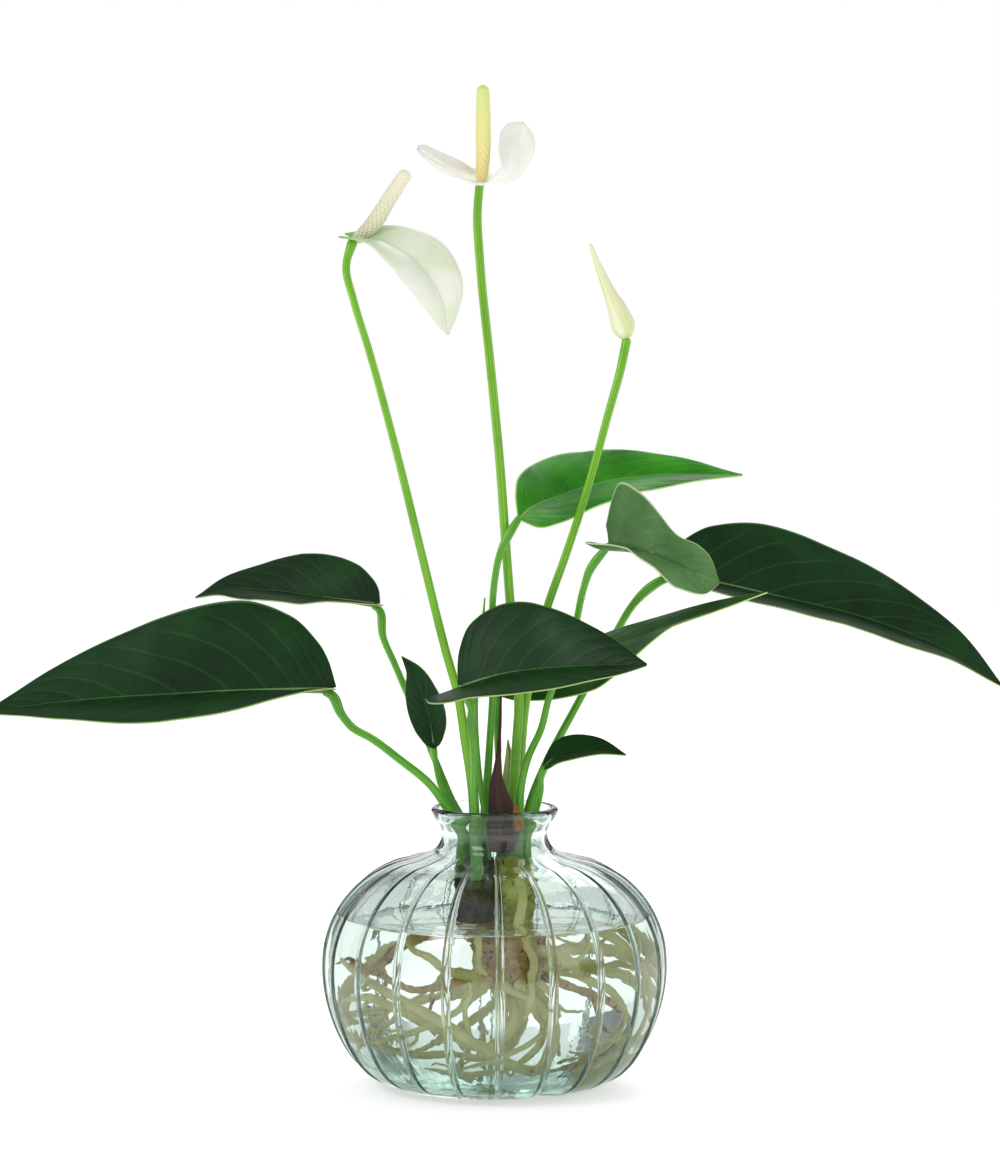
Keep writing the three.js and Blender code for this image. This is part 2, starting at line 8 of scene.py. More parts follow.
# %% Load the frame
import math
import random

import bmesh
import bpy
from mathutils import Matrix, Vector, noise


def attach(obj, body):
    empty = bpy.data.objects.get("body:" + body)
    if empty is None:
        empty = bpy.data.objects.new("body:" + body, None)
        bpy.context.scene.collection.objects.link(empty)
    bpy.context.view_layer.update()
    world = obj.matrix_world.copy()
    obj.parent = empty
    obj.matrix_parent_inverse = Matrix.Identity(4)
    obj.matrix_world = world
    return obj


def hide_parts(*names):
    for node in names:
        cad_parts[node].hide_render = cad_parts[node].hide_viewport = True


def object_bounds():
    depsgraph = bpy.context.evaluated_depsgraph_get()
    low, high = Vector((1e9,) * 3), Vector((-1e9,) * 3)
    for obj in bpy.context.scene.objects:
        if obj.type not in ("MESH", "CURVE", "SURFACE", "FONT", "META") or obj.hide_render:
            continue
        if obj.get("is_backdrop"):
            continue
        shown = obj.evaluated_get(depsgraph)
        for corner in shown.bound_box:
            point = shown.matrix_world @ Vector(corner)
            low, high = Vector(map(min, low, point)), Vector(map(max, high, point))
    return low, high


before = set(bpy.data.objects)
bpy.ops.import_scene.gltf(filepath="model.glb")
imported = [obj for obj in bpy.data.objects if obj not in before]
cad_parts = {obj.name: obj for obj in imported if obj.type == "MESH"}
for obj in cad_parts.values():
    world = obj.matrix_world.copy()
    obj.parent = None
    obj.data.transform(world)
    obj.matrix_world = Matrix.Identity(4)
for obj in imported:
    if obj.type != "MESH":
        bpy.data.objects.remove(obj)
cad_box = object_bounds()
MM = 0.001
scene = bpy.context.scene
print("parts in the frame:", len(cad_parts))

# %% [markdown]
# ## Camera
# The plant is seen from the front, two metres away and a little from above, through a long lens.
# The camera comes first, because every later choice of detail depends on how near the eye is.

# %% Camera
EYE = Vector((2.2, -2000, 360)) * MM
LOOK_AT = Vector((2.2, 0, 207)) * MM
camera = bpy.data.cameras.new("camera")
camera.sensor_width = 36
camera.lens = 151.1
camera_object = bpy.data.objects.new("camera", camera)
camera_object.location = EYE
camera_object.rotation_euler = (LOOK_AT - EYE).to_track_quat("-Z", "Y").to_euler()
scene.collection.objects.link(camera_object)
scene.camera = camera_object
print("camera stands", round((LOOK_AT - EYE).length, 2), "m away")

# %% [markdown]
# ## Helpers for materials
# Colours are picked as sRGB hex values, as in a paint program, and Blender wants them linear, so
# one function turns them. A second small function adds a node, sets its values and links it.

# %% Colour and node helpers
def rgb(code):
    """A hex colour as linear red, green, blue and alpha."""
    parts = [int(code[i : i + 2], 16) / 255 for i in (1, 3, 5)]
    linear = [c / 12.92 if c <= 0.04045 else ((c + 0.055) / 1.055) ** 2.4 for c in parts]
    return (*linear, 1.0)


def add_node(tree, kind, settings=None, **inputs):
    """Adds a node. Settings are its properties, and inputs are values or sockets to link."""
    made = tree.nodes.new(kind)
    for key, value in (settings or {}).items():
        setattr(made, key, value)
    for key, value in inputs.items():
        socket = made.inputs[int(key[1:])] if key[0] == "_" else made.inputs[key.replace("_", " ")]
        if isinstance(value, bpy.types.NodeSocket):
            tree.links.new(value, socket)
        else:
            socket.default_value = value
    return made


print("mid grey in linear light:", round(rgb("#808080")[0], 3))

# %% [markdown]
# Each finish is one Principled shader. Values that are even all over go straight on its sockets, and
# a pattern is a small tree of nodes that ends in its colour, its roughness or its bump.

# %% Material helpers
def new_material(name, **surface):
    """A material with one Principled shader whose even values are set on its own sockets."""
    material = bpy.data.materials.new(name)
    material.use_nodes = True
    tree = material.node_tree
    shader = tree.nodes["Principled BSDF"]
    for key, value in surface.items():
        shader.inputs[key.replace("_", " ")].default_value = value
    return material, tree, shader


def ramp(tree, fac, *stops):
    """A colour ramp with hex stops, as (place, colour)."""
    made = add_node(tree, "ShaderNodeValToRGB", Fac=fac)
    elements = made.color_ramp.elements
    while len(elements) < len(stops):
        elements.new(0.5)
    for element, (place, code) in zip(elements, stops):
        element.position = place
        element.color = rgb(code)
    return made.outputs["Color"]


def maths(tree, operation, first, second=0.0, third=0.0):
    """One Math node."""
    made = add_node(tree, "ShaderNodeMath", {"operation": operation}, _0=first, _1=second, _2=third)
    return made.outputs[0]


def blend_colours(tree, fac, first, second):
    """Mixes two colours, each a hex code or a socket."""
    pair = [rgb(c) if isinstance(c, str) else c for c in (first, second)]
    made = add_node(tree, "ShaderNodeMix", {"data_type": "RGBA"}, _0=fac, _6=pair[0], _7=pair[1])
    return made.outputs[2]


def between(tree, value, low, high):
    """How far a value has gone from low to high, smoothly, from 0 to 1."""
    made = add_node(
        tree,
        "ShaderNodeMapRange",
        {"interpolation_type": "SMOOTHSTEP"},
        Value=value,
        From_Min=low,
        From_Max=high,
    )
    return made.outputs["Result"]


def fading(tree, value, low, high):
    """How much of something is left between low and high, from 1 to 0."""
    return maths(tree, "SUBTRACT", 1.0, between(tree, value, low, high))


def raise_surface(tree, shader, height, depth_mm):
    """Feeds a height from 0 to 1 to the shader as a bump of a real depth."""
    bump = add_node(tree, "ShaderNodeBump", Height=height, Distance=depth_mm * MM, Strength=1.0)
    tree.links.new(bump.outputs["Normal"], shader.inputs["Normal"])


print("materials start from one Principled shader")

# %% [markdown]
# Living tissue is never one flat colour, so nearly every finish holds some noise. Its size is given
# in millimetres on the Object coordinates. Fibres follow the piece instead, and are noise on its UV
# map, stretched by one number round the piece and one along it.

# %% Cloudy patterns and places on a piece
def cloud(tree, size_mm=None, stretch=(1, 1, 1), detail=3.0, source="Object", roughness=0.55):
    """Noise with features of about that size, or stretched on the UV map."""
    where = add_node(tree, "ShaderNodeTexCoord").outputs[source]
    placed = add_node(tree, "ShaderNodeMapping", Vector=where, Scale=stretch)
    made = add_node(
        tree,
        "ShaderNodeTexNoise",
        Vector=placed.outputs["Vector"],
        Scale=1 / (size_mm * MM) if size_mm else 1.0,
        Detail=detail,
        Roughness=roughness,
    )
    return made.outputs["Fac"]


def uv_parts(tree):
    """The outputs X and Y of the UV map."""
    uv = add_node(tree, "ShaderNodeTexCoord").outputs["UV"]
    return add_node(tree, "ShaderNodeSeparateXYZ", Vector=uv).outputs


print("patterns ready")

# %% [markdown]
# ## Helpers for shapes
# A plant is made of two kinds of shape: rods, which are stalks, roots and spikes, and blades,
# which are leaves and petals. Both start from a flat grid. A rod is the grid rolled round a line,
# and a blade is the grid laid over a midrib. The grid's own two directions become the UV map, so
# veins and fibres can follow the growth of the piece.
#
# Growth has no corners. A few keys give the width of a leaf or the thickness of a
# stalk, and the values between them are filled in smoothly.

# %% Smooth numbers
def value_at(keys, t):
    """A smooth value between keys (place, value), with slopes taken from the neighbours."""
    i = 0
    while i < len(keys) - 2 and t > keys[i + 1][0]:
        i += 1

    def slope(k):
        low, high = keys[max(k - 1, 0)], keys[min(k + 1, len(keys) - 1)]
        return (high[1] - low[1]) / (high[0] - low[0])

    (start, from_value), (end, to_value) = keys[i], keys[i + 1]
    span = end - start
    u = min(max((t - start) / span, 0), 1)
    rise = from_value + (to_value - from_value) * u * u * (3 - 2 * u)
    return rise + span * u * (1 - u) * (slope(i) * (1 - u) - slope(i + 1) * u)


print("halfway from 0 to 10:", value_at([(0, 0), (1, 10)], 0.5))

# %% [markdown]
# A line is smoothed in the same way. It is then walked in even steps, so that the rings of a stalk
# are evenly spaced however far apart the points of its line are.

# %% Smooth lines
STEPS_PER_GAP = 24


def smooth_line(points, count):
    """Evenly spaced places on a smooth line through the points, and its length."""
    knots = [Vector(p) for p in points]
    gaps = [(b - a).length for a, b in zip(knots, knots[1:])]
    slopes = []
    for i in range(len(knots)):
        a, b = max(i - 1, 0), min(i + 1, len(knots) - 1)
        if b - a == 1:
            slopes.append((knots[b] - knots[a]) / gaps[a])
        else:
            before = (knots[i] - knots[a]) / gaps[a]
            after = (knots[b] - knots[i]) / gaps[i]
            slopes.append((before * gaps[i] + after * gaps[a]) / (gaps[a] + gaps[i]))
    dense = [knots[0]]
    for i, gap in enumerate(gaps):
        for step in range(1, STEPS_PER_GAP + 1):
            u = step / STEPS_PER_GAP
            rise = knots[i].lerp(knots[i + 1], u * u * (3 - 2 * u))
            bend = slopes[i] * (1 - u) - slopes[i + 1] * u
            dense.append(rise + bend * gap * u * (1 - u))
    lengths = [0.0]
    for a, b in zip(dense, dense[1:]):
        lengths.append(lengths[-1] + (b - a).length)
    places, k = [], 0
    for step in range(count):
        want = lengths[-1] * step / (count - 1)
        while k < len(lengths) - 2 and lengths[k + 1] < want:
            k += 1
        share = (want - lengths[k]) / max(lengths[k + 1] - lengths[k], 1e-9)
        places.append(dense[k].lerp(dense[k + 1], share))
    return places, lengths[-1]


print("a straight line of 3 mm is", smooth_line([(0, 0, 0), (0, 0, 3)], 4)[1], "mm long")

# %% [markdown]
# A route is such a line that also knows its direction and one direction sideways. The sideways one is
# turned as little as possible from step to step, so that what is rolled round the line doesn't twist.

# %% Routes
ROUTE_PLACES = 241


class Route:
    """A smooth line that can be asked for its place, its direction and its sideways direction."""

    def __init__(self, points, side=(0, -1, 0)):
        self.places, self.length = smooth_line(points, ROUTE_PLACES)
        last = len(self.places) - 1
        self.tangents = []
        for i in range(last + 1):
            ahead, behind = self.places[min(i + 1, last)], self.places[max(i - 1, 0)]
            self.tangents.append((ahead - behind).normalized())
        self.sides = []
        across = Vector(side)
        for tangent in self.tangents:
            across = (across - tangent * across.dot(tangent)).normalized()
            self.sides.append(across)

    def _between(self, values, t):
        place = min(max(t, 0), 1) * (len(values) - 1)
        i = min(int(place), len(values) - 2)
        return values[i].lerp(values[i + 1], place - i)

    def at(self, t):
        return self._between(self.places, t)

    def direction(self, t):
        return self._between(self.tangents, t).normalized()

    def across(self, t):
        return self._between(self.sides, t).normalized()


print("a route keeps", ROUTE_PLACES, "places")

# %% [markdown]
# A finished piece is scaled from millimetres to metres, shaded smoothly, tied to the frame, and
# its measured part is hidden.

# %% From mesh to piece
triangle_count = 0


def make_piece(name, bm, materials, part=None, slot=None):
    """Turns a bmesh in millimetres into a finished piece that stands for a part of the frame."""
    global triangle_count
    bmesh.ops.scale(bm, vec=(MM, MM, MM), verts=bm.verts)
    mesh = bpy.data.meshes.new(name)
    bm.to_mesh(mesh)
    bm.free()
    mesh.shade_smooth()
    for material in materials:
        mesh.materials.append(material)
    made = bpy.data.objects.new(name, mesh)
    scene.collection.objects.link(made)
    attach(made, "root")
    if part:
        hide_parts(part)
    triangle_count += sum(len(p.vertices) - 2 for p in mesh.polygons)
    return made


print("pieces are made in millimetres and kept in metres")

# %% [markdown]
# The grid's own operator makes the faces, and only its corners are moved afterwards. Where two edges
# of a bent grid meet they are welded, so that the piece is closed, and its faces are turned outwards.

# %% Grids and rods
END_CROWDING = 0.9
WELD = 1e-4


def grid(columns, rows):
    """A flat grid, one by one, with its UV map, ready to be bent."""
    bm = bmesh.new()
    bmesh.ops.create_grid(bm, x_segments=columns, y_segments=rows, size=0.5)
    uv = bm.loops.layers.uv.new("UVMap")
    for face in bm.faces:
        for loop in face.loops:
            loop[uv].uv = (loop.vert.co.x + 0.5, loop.vert.co.y + 0.5)
    return bm


def close_up(bm):
    """Welds seams and poles, and points every face outwards."""
    bmesh.ops.remove_doubles(bm, verts=bm.verts, dist=WELD)
    bmesh.ops.recalc_face_normals(bm, faces=bm.faces)


def rod(route, radii, sides=16, rings=64, relief=None):
    """A closed rod along a route with round ends. Relief adds height at (turn, share of length),
    and the height is kept as an attribute, so that a material can paint shade into the hollows."""
    bm = grid(sides, rings)
    height = bm.verts.layers.float.new("height")
    end_round = radii[0][1] / route.length, radii[-1][1] / route.length
    for vert in bm.verts:
        turn = (vert.co.x + 0.5) * math.tau
        row = vert.co.y + 0.5
        t = row - END_CROWDING * math.sin(math.tau * row) / math.tau
        radius = value_at(radii, t)
        to_end = min(t / max(end_round[0], 1e-6), (1 - t) / max(end_round[1], 1e-6), 1)
        if relief:
            vert[height] = relief(turn, t)
            radius += vert[height] * to_end
        radius *= math.sqrt(max(1 - (1 - to_end) ** 2, 0))
        out = route.across(t) * math.cos(turn)
        out += route.direction(t).cross(route.across(t)) * math.sin(turn)
        vert.co = route.at(t) + out * radius
    close_up(bm)
    return bm


print("rings crowd towards the ends of a rod, where it rounds off")

# %% [markdown]
# ## The vase
# The bottle is blown into a ribbed mould, so it is a turned shape with twenty narrow ridges. One
# closed outline is spun: up the outside, over the lip, down the inside and across the thick floor.
# The steps of the spin are crowded round each ridge, where the surface turns fastest.

# %% Vase measures
RIBS = 20
RIB_HEIGHT = 1.0
RIB_HALF_DEGREES = 1.25
RIB_HALF_ANGLE = math.radians(RIB_HALF_DEGREES)
RIB_TURN = math.radians(1.8)
STEPS_PER_RIB = 16
WATER_LEVEL = 70
OUTSIDE = [
    (33, 0), (43, 1.5), (51, 5.2), (57, 10.5), (62, 18), (66, 27), (69, 38), (70, 48), (69, 60),
    (66, 69), (61, 77.5), (53, 85.7), (41.8, 92), (29.7, 95.5), (24, 98.6), (22.3, 102),
    (22.5, 107.5), (23.6, 109.5), (25.2, 112), (26.2, 114),
]
INSIDE = [
    (30, 9), (45, 12.5), (55, 19.5), (61.5, 29), (65.5, 39), (66.8, 48), (65.8, 59), (62.2, 69),
    (57.5, 75.8), (50, 83), (40, 88.8), (28.5, 92.2), (21.5, 96), (19.4, 101), (19.4, 107),
    (21, 111.5), (23, 114),
]
FLOOR_TOP = 9
FLOOR_RADIUS = 29
INNER_REACH = 0.7
print("ribs:", RIBS, "steps in the whole spin:", RIBS * STEPS_PER_RIB)

# %% [markdown]
# Spin is the tool for anything turned: it carries an outline round an axis. The seam where the spin
# ends and the points on the axis are welded afterwards.

# %% Outlines and turned shapes
def outline(points, count):
    """A smooth outline of (radius, height) through the points."""
    places, _ = smooth_line([(r, 0, z) for r, z in points], count)
    return [(p.x, p.z) for p in places]


def turned(profile, steps):
    """Spins an outline of (radius, height) round the upright axis."""
    bm = bmesh.new()
    verts = [bm.verts.new((r, 0, z)) for r, z in profile]
    edges = [bm.edges.new(pair) for pair in zip(verts, verts[1:])]
    bmesh.ops.spin(
        bm,
        geom=verts + edges,
        cent=(0, 0, 0),
        axis=(0, 0, 1),
        angle=math.tau,
        steps=steps,
        use_merge=True,
    )
    close_up(bm)
    return bm


def turn_of(place):
    """The angle round the vase, from the front towards the right."""
    return math.atan2(place.x, -place.y) % math.tau


def set_turn(vert, turn, radius):
    vert.co.x = radius * math.sin(turn)
    vert.co.y = -radius * math.cos(turn)


outer = outline(OUTSIDE, 84)
inner = outline(INSIDE, 60)
print("outline points:", len(outer) + len(inner))

# %% [markdown]
# Blown glass is never quite even. The outside stays true, and the inside wall swells and thins a
# little, which is what makes things behind it swim. The water is given the same swelling, so that
# it always touches the glass: it laps a tenth of a millimetre into the wall, and that bends light
# as one boundary between water and glass does.

# %% Uneven inside wall
def swell(place, turn):
    """How far the inside wall wanders at a place."""
    round_it = Vector((math.sin(turn) * 2.4, math.cos(turn) * 2.4, place.z / 26))
    fine = Vector((math.sin(turn) * 7, math.cos(turn) * 7, place.z / 8))
    fade = min(max((place.z - 11) / 8, 0), 1) * min(max((112 - place.z) / 8, 0), 1)
    return (0.25 * noise.noise(round_it) + 0.05 * noise.noise(fine)) * fade


print("the wall wanders by", round(swell(Vector((66, 0, 48)), 1.6), 2), "mm at its right")

# %% [markdown]
# A rib is a narrow half-round cord on the glass. It fades out below the neck and above the foot. The
# neck carries faint rings in place of ribs, and a collar under the lip.

# %% Ribs and rings
def rib_rise(turn, z):
    """How proud a rib stands at an angle and a height."""
    pitch = math.tau / RIBS
    off = (turn - RIB_TURN + pitch / 2) % pitch - pitch / 2
    if abs(off) > RIB_HALF_ANGLE:
        return 0.0
    crest = math.sqrt(1 - (off / RIB_HALF_ANGLE) ** 2)
    top = min(max((97 - z) / 5, 0), 1)
    foot = min(max((z - 1.0) / 5, 0), 1)
    return RIB_HEIGHT * crest * top * foot


def neck_ring(z):
    """Faint rings that the mould left round the neck, and a collar under the lip."""
    if 98 < z < 106:
        return 0.16 * math.sin(math.tau * (z - 98) / 2.0)
    if 109 < z < 112.5:
        return 0.45 * math.sin(math.pi * (z - 109) / 3.5) ** 2
    return 0.0


ACROSS_RIB = [-RIB_HALF_DEGREES * math.cos(math.pi * k / 8) for k in range(9)]
CROWDED = ACROSS_RIB + [1.7, 3.2, 6.0, 9.0, 12.0, 14.8, 16.3]
print("angles across one rib and its gap:", [round(a, 2) for a in CROWDED])

# %% [markdown]
# Thin glass looks clear and thick glass looks green, because iron in it takes a little red out of
# the light for every millimetre crossed. So the surface is left almost white, and the green is put
# in the volume: the ribs, the rim and the thick floor then darken by themselves.

# %% Glass material
# Recycled soda-lime glass: smooth, with a slight ripple from the mould.
glass, tree, shader = new_material(
    "recycled_green_glass",
    Base_Color=rgb("#fafdfc"),
    Roughness=0.0,
    Specular_IOR_Level=0.25,
    IOR=1.5,
    Transmission_Weight=1.0,
)
raise_surface(tree, shader, cloud(tree, 7, detail=2), 0.05)
tint = add_node(tree, "ShaderNodeVolumeAbsorption", Color=(0.25, 0.66, 0.52, 1.0), Density=30.0)
tree.links.new(tint.outputs[0], tree.nodes["Material Output"].inputs["Volume"])
print("glass finish:", glass.name)

# %% [markdown]
# The outline is spun first, and every corner is then moved to its crowded angle. Corners near the
# inside outline swell with the wall, those of the floor and of the hollow foot stay plain, and the
# others rise into ribs and rings.

# %% Build the vase
lip = [(25.9, 114.9), (25.1, 115.45), (24.2, 115.45), (23.4, 114.9)]
under = [(0, 1.4), (18, 1.3), (25, 0.7), (28, 0.15), (30, 0.0)]
floor_inside = [(22, 8.1), (12, 7.8), (0, 7.7)]
profile = under + outer + lip + inner[::-1] + floor_inside
bm = turned(profile, RIBS * STEPS_PER_RIB)
step_angle = math.tau / (RIBS * STEPS_PER_RIB)
inside_by_height = sorted((z, r) for r, z in inner)
for vert in bm.verts:
    radius = math.hypot(vert.co.x, vert.co.y)
    if radius < 0.5:
        continue
    step = round(turn_of(vert.co) / step_angle)
    rib, within = divmod(step, STEPS_PER_RIB)
    turn = rib * math.tau / RIBS + math.radians(CROWDED[within]) + RIB_TURN
    wall_inside = value_at(inside_by_height, vert.co.z) if vert.co.z > FLOOR_TOP else 0
    if vert.co.z > FLOOR_TOP and radius < wall_inside + INNER_REACH:
        set_turn(vert, turn, radius + swell(vert.co, turn))
    elif vert.co.z < FLOOR_TOP and radius < FLOOR_RADIUS:
        set_turn(vert, turn, radius)
    else:
        set_turn(vert, turn, radius + rib_rise(turn, vert.co.z) + neck_ring(vert.co.z))
make_piece("vase", bm, [glass], "vase", "green_glass")
print("vase triangles:", triangle_count)

# %% [markdown]
# ## The water
# Water fills the bottle to just under its shoulder. It is turned like the bottle, from the bottle's
# own inside outline, and its surface climbs a little where it meets the glass. The roots simply
# stand inside it.

# %% Water
# Still tap water: clear, with no colour of its own at this depth.
water_finish, tree, shader = new_material(
    "still_water",
    Base_Color=rgb("#ffffff"),
    Roughness=0.0,
    Specular_IOR_Level=0.3,
    IOR=1.333,
    Transmission_Weight=1.0,
)
LAP = 0.1
wet = [(r + LAP, z - LAP if z < 48 else z) for r, z in inner if z < WATER_LEVEL + 1.3]
edge = wet[-1][0]
surface = [(edge - 0.5, WATER_LEVEL + 0.55), (edge - 1.2, WATER_LEVEL + 0.2)]
surface += [(edge - 2.6, WATER_LEVEL), (edge - 12, WATER_LEVEL), (0, WATER_LEVEL)]
bm = turned([(0, 7.6), (12, 7.7), (22, 8.0)] + wet + surface, 200)
for vert in bm.verts:
    radius = math.hypot(vert.co.x, vert.co.y)
    if radius > FLOOR_RADIUS:
        turn = turn_of(vert.co)
        set_turn(vert, turn, radius + swell(vert.co, turn))
make_piece("water", bm, [water_finish], "water", "water")
print("with the water:", triangle_count)

# %% [markdown]
# ## Crown and roots
# The stalks grow out of two knobs of rootstock, one old and brown, one younger and yellow-green.
# Below them hangs a clump that the roots leave from. Knobs are rods too: short, thick ones, whose
# relief is lumps and the rings left by fallen leaves.

# %% Rootstock materials
def woody(name, deep, mid, light, speck):
    """Rough plant tissue: patches of three browns with small dark specks."""
    material, tree, shader = new_material(name, Roughness=0.85)
    patches = ramp(tree, cloud(tree, 7, detail=5), (0.3, deep), (0.5, mid), (0.68, light))
    specks = between(tree, cloud(tree, 1.6, detail=2), 0.60, 0.68)
    colour = blend_colours(tree, specks, patches, speck)
    tree.links.new(colour, shader.inputs["Base Color"])
    raise_surface(tree, shader, cloud(tree, 1.3, detail=4), 0.5)
    return material


# Old rootstock is dead corky bark: nearly black, rough and dull.
old_wood = woody("old_rootstock", "#1c130d", "#38281a", "#5d4a30", "#0f0b08")
# Young rootstock still lives: yellow-green skin, with brown specks where it has healed.
young_wood = woody("young_rootstock", "#6f7220", "#a9ab3f", "#d3d272", "#6a4426")
# The bark of the clump is pale brown, as water has softened and washed it.
clump_wood = woody("root_clump_bark", "#86602f", "#c19a58", "#dcc07c", "#3a2213")
print("rootstock finishes:", old_wood.name, young_wood.name, clump_wood.name)

# %% [markdown]
# A relief is a small function that says how high the surface stands at an angle and a share of the
# length. The three knobs differ only in their outline, their finish and their relief.

# %% Knobs
def lumps(size, height, seed, rings=0.0):
    """A relief of lumps, with ring scars if wanted, for a rod about that many mm long."""

    def relief(turn, t):
        place = Vector((math.cos(turn), math.sin(turn), t * size)) + Vector((seed, seed, seed))
        rise = height * noise.fractal(place * 1.3, 0.6, 2.0, 4)
        return rise + rings * math.sin(t * 38 + 2 * noise.noise(place)) ** 3

    return relief


def knob(name, centre, keys, finish, slot_name, relief):
    """A lumpy upright knob through keys (radius, height)."""
    low, high = keys[0][1], keys[-1][1]
    route = Route([(*centre, low), (*centre, (low + high) / 2), (*centre, high)])
    radii = [((z - low) / (high - low), r) for r, z in keys]
    make_piece(name, rod(route, radii, 64, 60, relief), [finish], name, slot_name)


OLD_CROWN = [(4, 64.5), (6, 68), (7.8, 76), (8.4, 85), (8.6, 91), (8.2, 94)]
GREEN_CROWN = [(4, 64.2), (6.5, 69), (8.4, 77), (8.2, 85), (8.6, 91), (8, 93.5)]
CLUMP = [(3, 41), (7.5, 44), (10.5, 49), (11.5, 55), (9.5, 60.5), (5, 66)]
knob("crown_old", (-8.2, -1.6), OLD_CROWN, old_wood, "old_crown", lumps(4, 1.8, 3, 0.25))
knob("crown_green", (8.6, -1.6), GREEN_CROWN, young_wood, "green_crown", lumps(4, 1.7, 11, 0.2))
knob("root_clump", (5, 0), CLUMP, clump_wood, "clump", lumps(5, 3.2, 23))
print("with the knobs:", triangle_count)

# %% [markdown]
# The roots are fleshy and pale where they are young, and brown and scurfy where they are old. Each
# wanders out of the clump and curls round the inside of the vase.

# %% Root materials
def root_finish(name, young, shade, scurf, amount):
    """Pale flesh with brown scurf in patches along it."""
    material, tree, shader = new_material(name, Roughness=0.5)
    body = ramp(tree, cloud(tree, 10, detail=3), (0.35, shade), (0.62, young))
    patches = between(tree, cloud(tree, 4.5, detail=5, roughness=0.7), 0.62 - amount, 0.70 - amount)
    tree.links.new(blend_colours(tree, patches, body, scurf), shader.inputs["Base Color"])
    raise_surface(tree, shader, cloud(tree, 0.9, detail=3), 0.16)
    return material


# A young root is living flesh: smooth, pale yellow, with hardly any scurf.
pale_root = root_finish("young_root", "#efeaa0", "#d3cf72", "#a5854c", 0.0)
# An old root has a skin that browns and flakes, and scurf covers more of it.
brown_root = root_finish("old_root", "#dcc07a", "#bb9850", "#714b28", 0.08)
print("root finishes:", pale_root.name, brown_root.name)

# %% [markdown]
# Side roots leave the main ones and wander. Each is a short random walk that keeps its heading,
# turns back before it reaches the glass, and is joined to the root that it grew from.

# %% Side roots
dice = random.Random(7)


def join(bm, other):
    """Adds one bmesh to another, and keeps the UV map."""
    mesh = bpy.data.meshes.new("joined")
    other.to_mesh(mesh)
    other.free()
    bm.from_mesh(mesh)
    bpy.data.meshes.remove(mesh)


def wandering(start, heading, length, steps=7, turn=0.55, low=11.5, high=60, room=3.5):
    """Points of a random walk inside the vase."""
    place, way = Vector(start), Vector(heading).normalized()
    points = [place.copy()]
    for _ in range(steps):
        kick = Vector([dice.uniform(-1, 1) for _ in range(3)])
        way = (way + kick * turn).normalized()
        ahead = place + way * length / steps
        reach = value_at(inside_by_height, max(ahead.z, 9.5)) - room
        flat = math.hypot(ahead.x, ahead.y)
        if flat > reach:
            inward = Vector((-ahead.x, -ahead.y, 0)).normalized()
            way = (way + inward * 1.6).normalized()
        if ahead.z < low:
            way.z = abs(way.z) + 0.2
        if ahead.z > high:
            way.z = -abs(way.z) - 0.2
        way.normalize()
        place = place + way * length / steps
        points.append(place.copy())
    return points


def rootlet(start, heading, length, radius, seed):
    """A closed rod along a random walk."""
    route = Route(wandering(start, heading, length))
    radii = [(0, radius), (0.6, radius * 0.85), (1, radius * 0.4)]
    return rod(route, radii, 10, 44, lumps(length / 2.5, 0.12, seed))


print("side roots wander with a seeded die")

# %% [markdown]
# The clump hides under short thick roots that wind round it, and one pale root drops to it from the
# green crown. They are joined to one piece, which stands for the clump together with the knob.

# %% Tangle round the clump
TANGLE_ROOTS = 16
drop = Route([(9, -9, 88), (11, -9.5, 80), (9.5, -9, 70), (7, -6, 58)])
tangle = rod(drop, [(0, 2), (1, 2.2)], 14, 60, lumps(12, 0.25, 5))
for k in range(TANGLE_ROOTS):
    turn = math.tau * k / TANGLE_ROOTS + dice.uniform(-0.2, 0.2)
    start = Vector((5 + 6 * math.sin(turn), -5 * math.cos(turn), dice.uniform(46, 62)))
    heading = Vector((math.cos(turn), 0.8 * math.sin(turn), dice.uniform(-0.5, 0.3)))
    join(tangle, rootlet(start, heading, dice.uniform(22, 44), dice.uniform(1.0, 1.7), 90 + k))
make_piece("root_tangle", tangle, [pale_root], "root_clump", "clump")
print("with the tangle:", triangle_count)

# %% [markdown]
# The main roots are known one by one, so each is a thickness and a line of a few points, from the
# clump outwards.

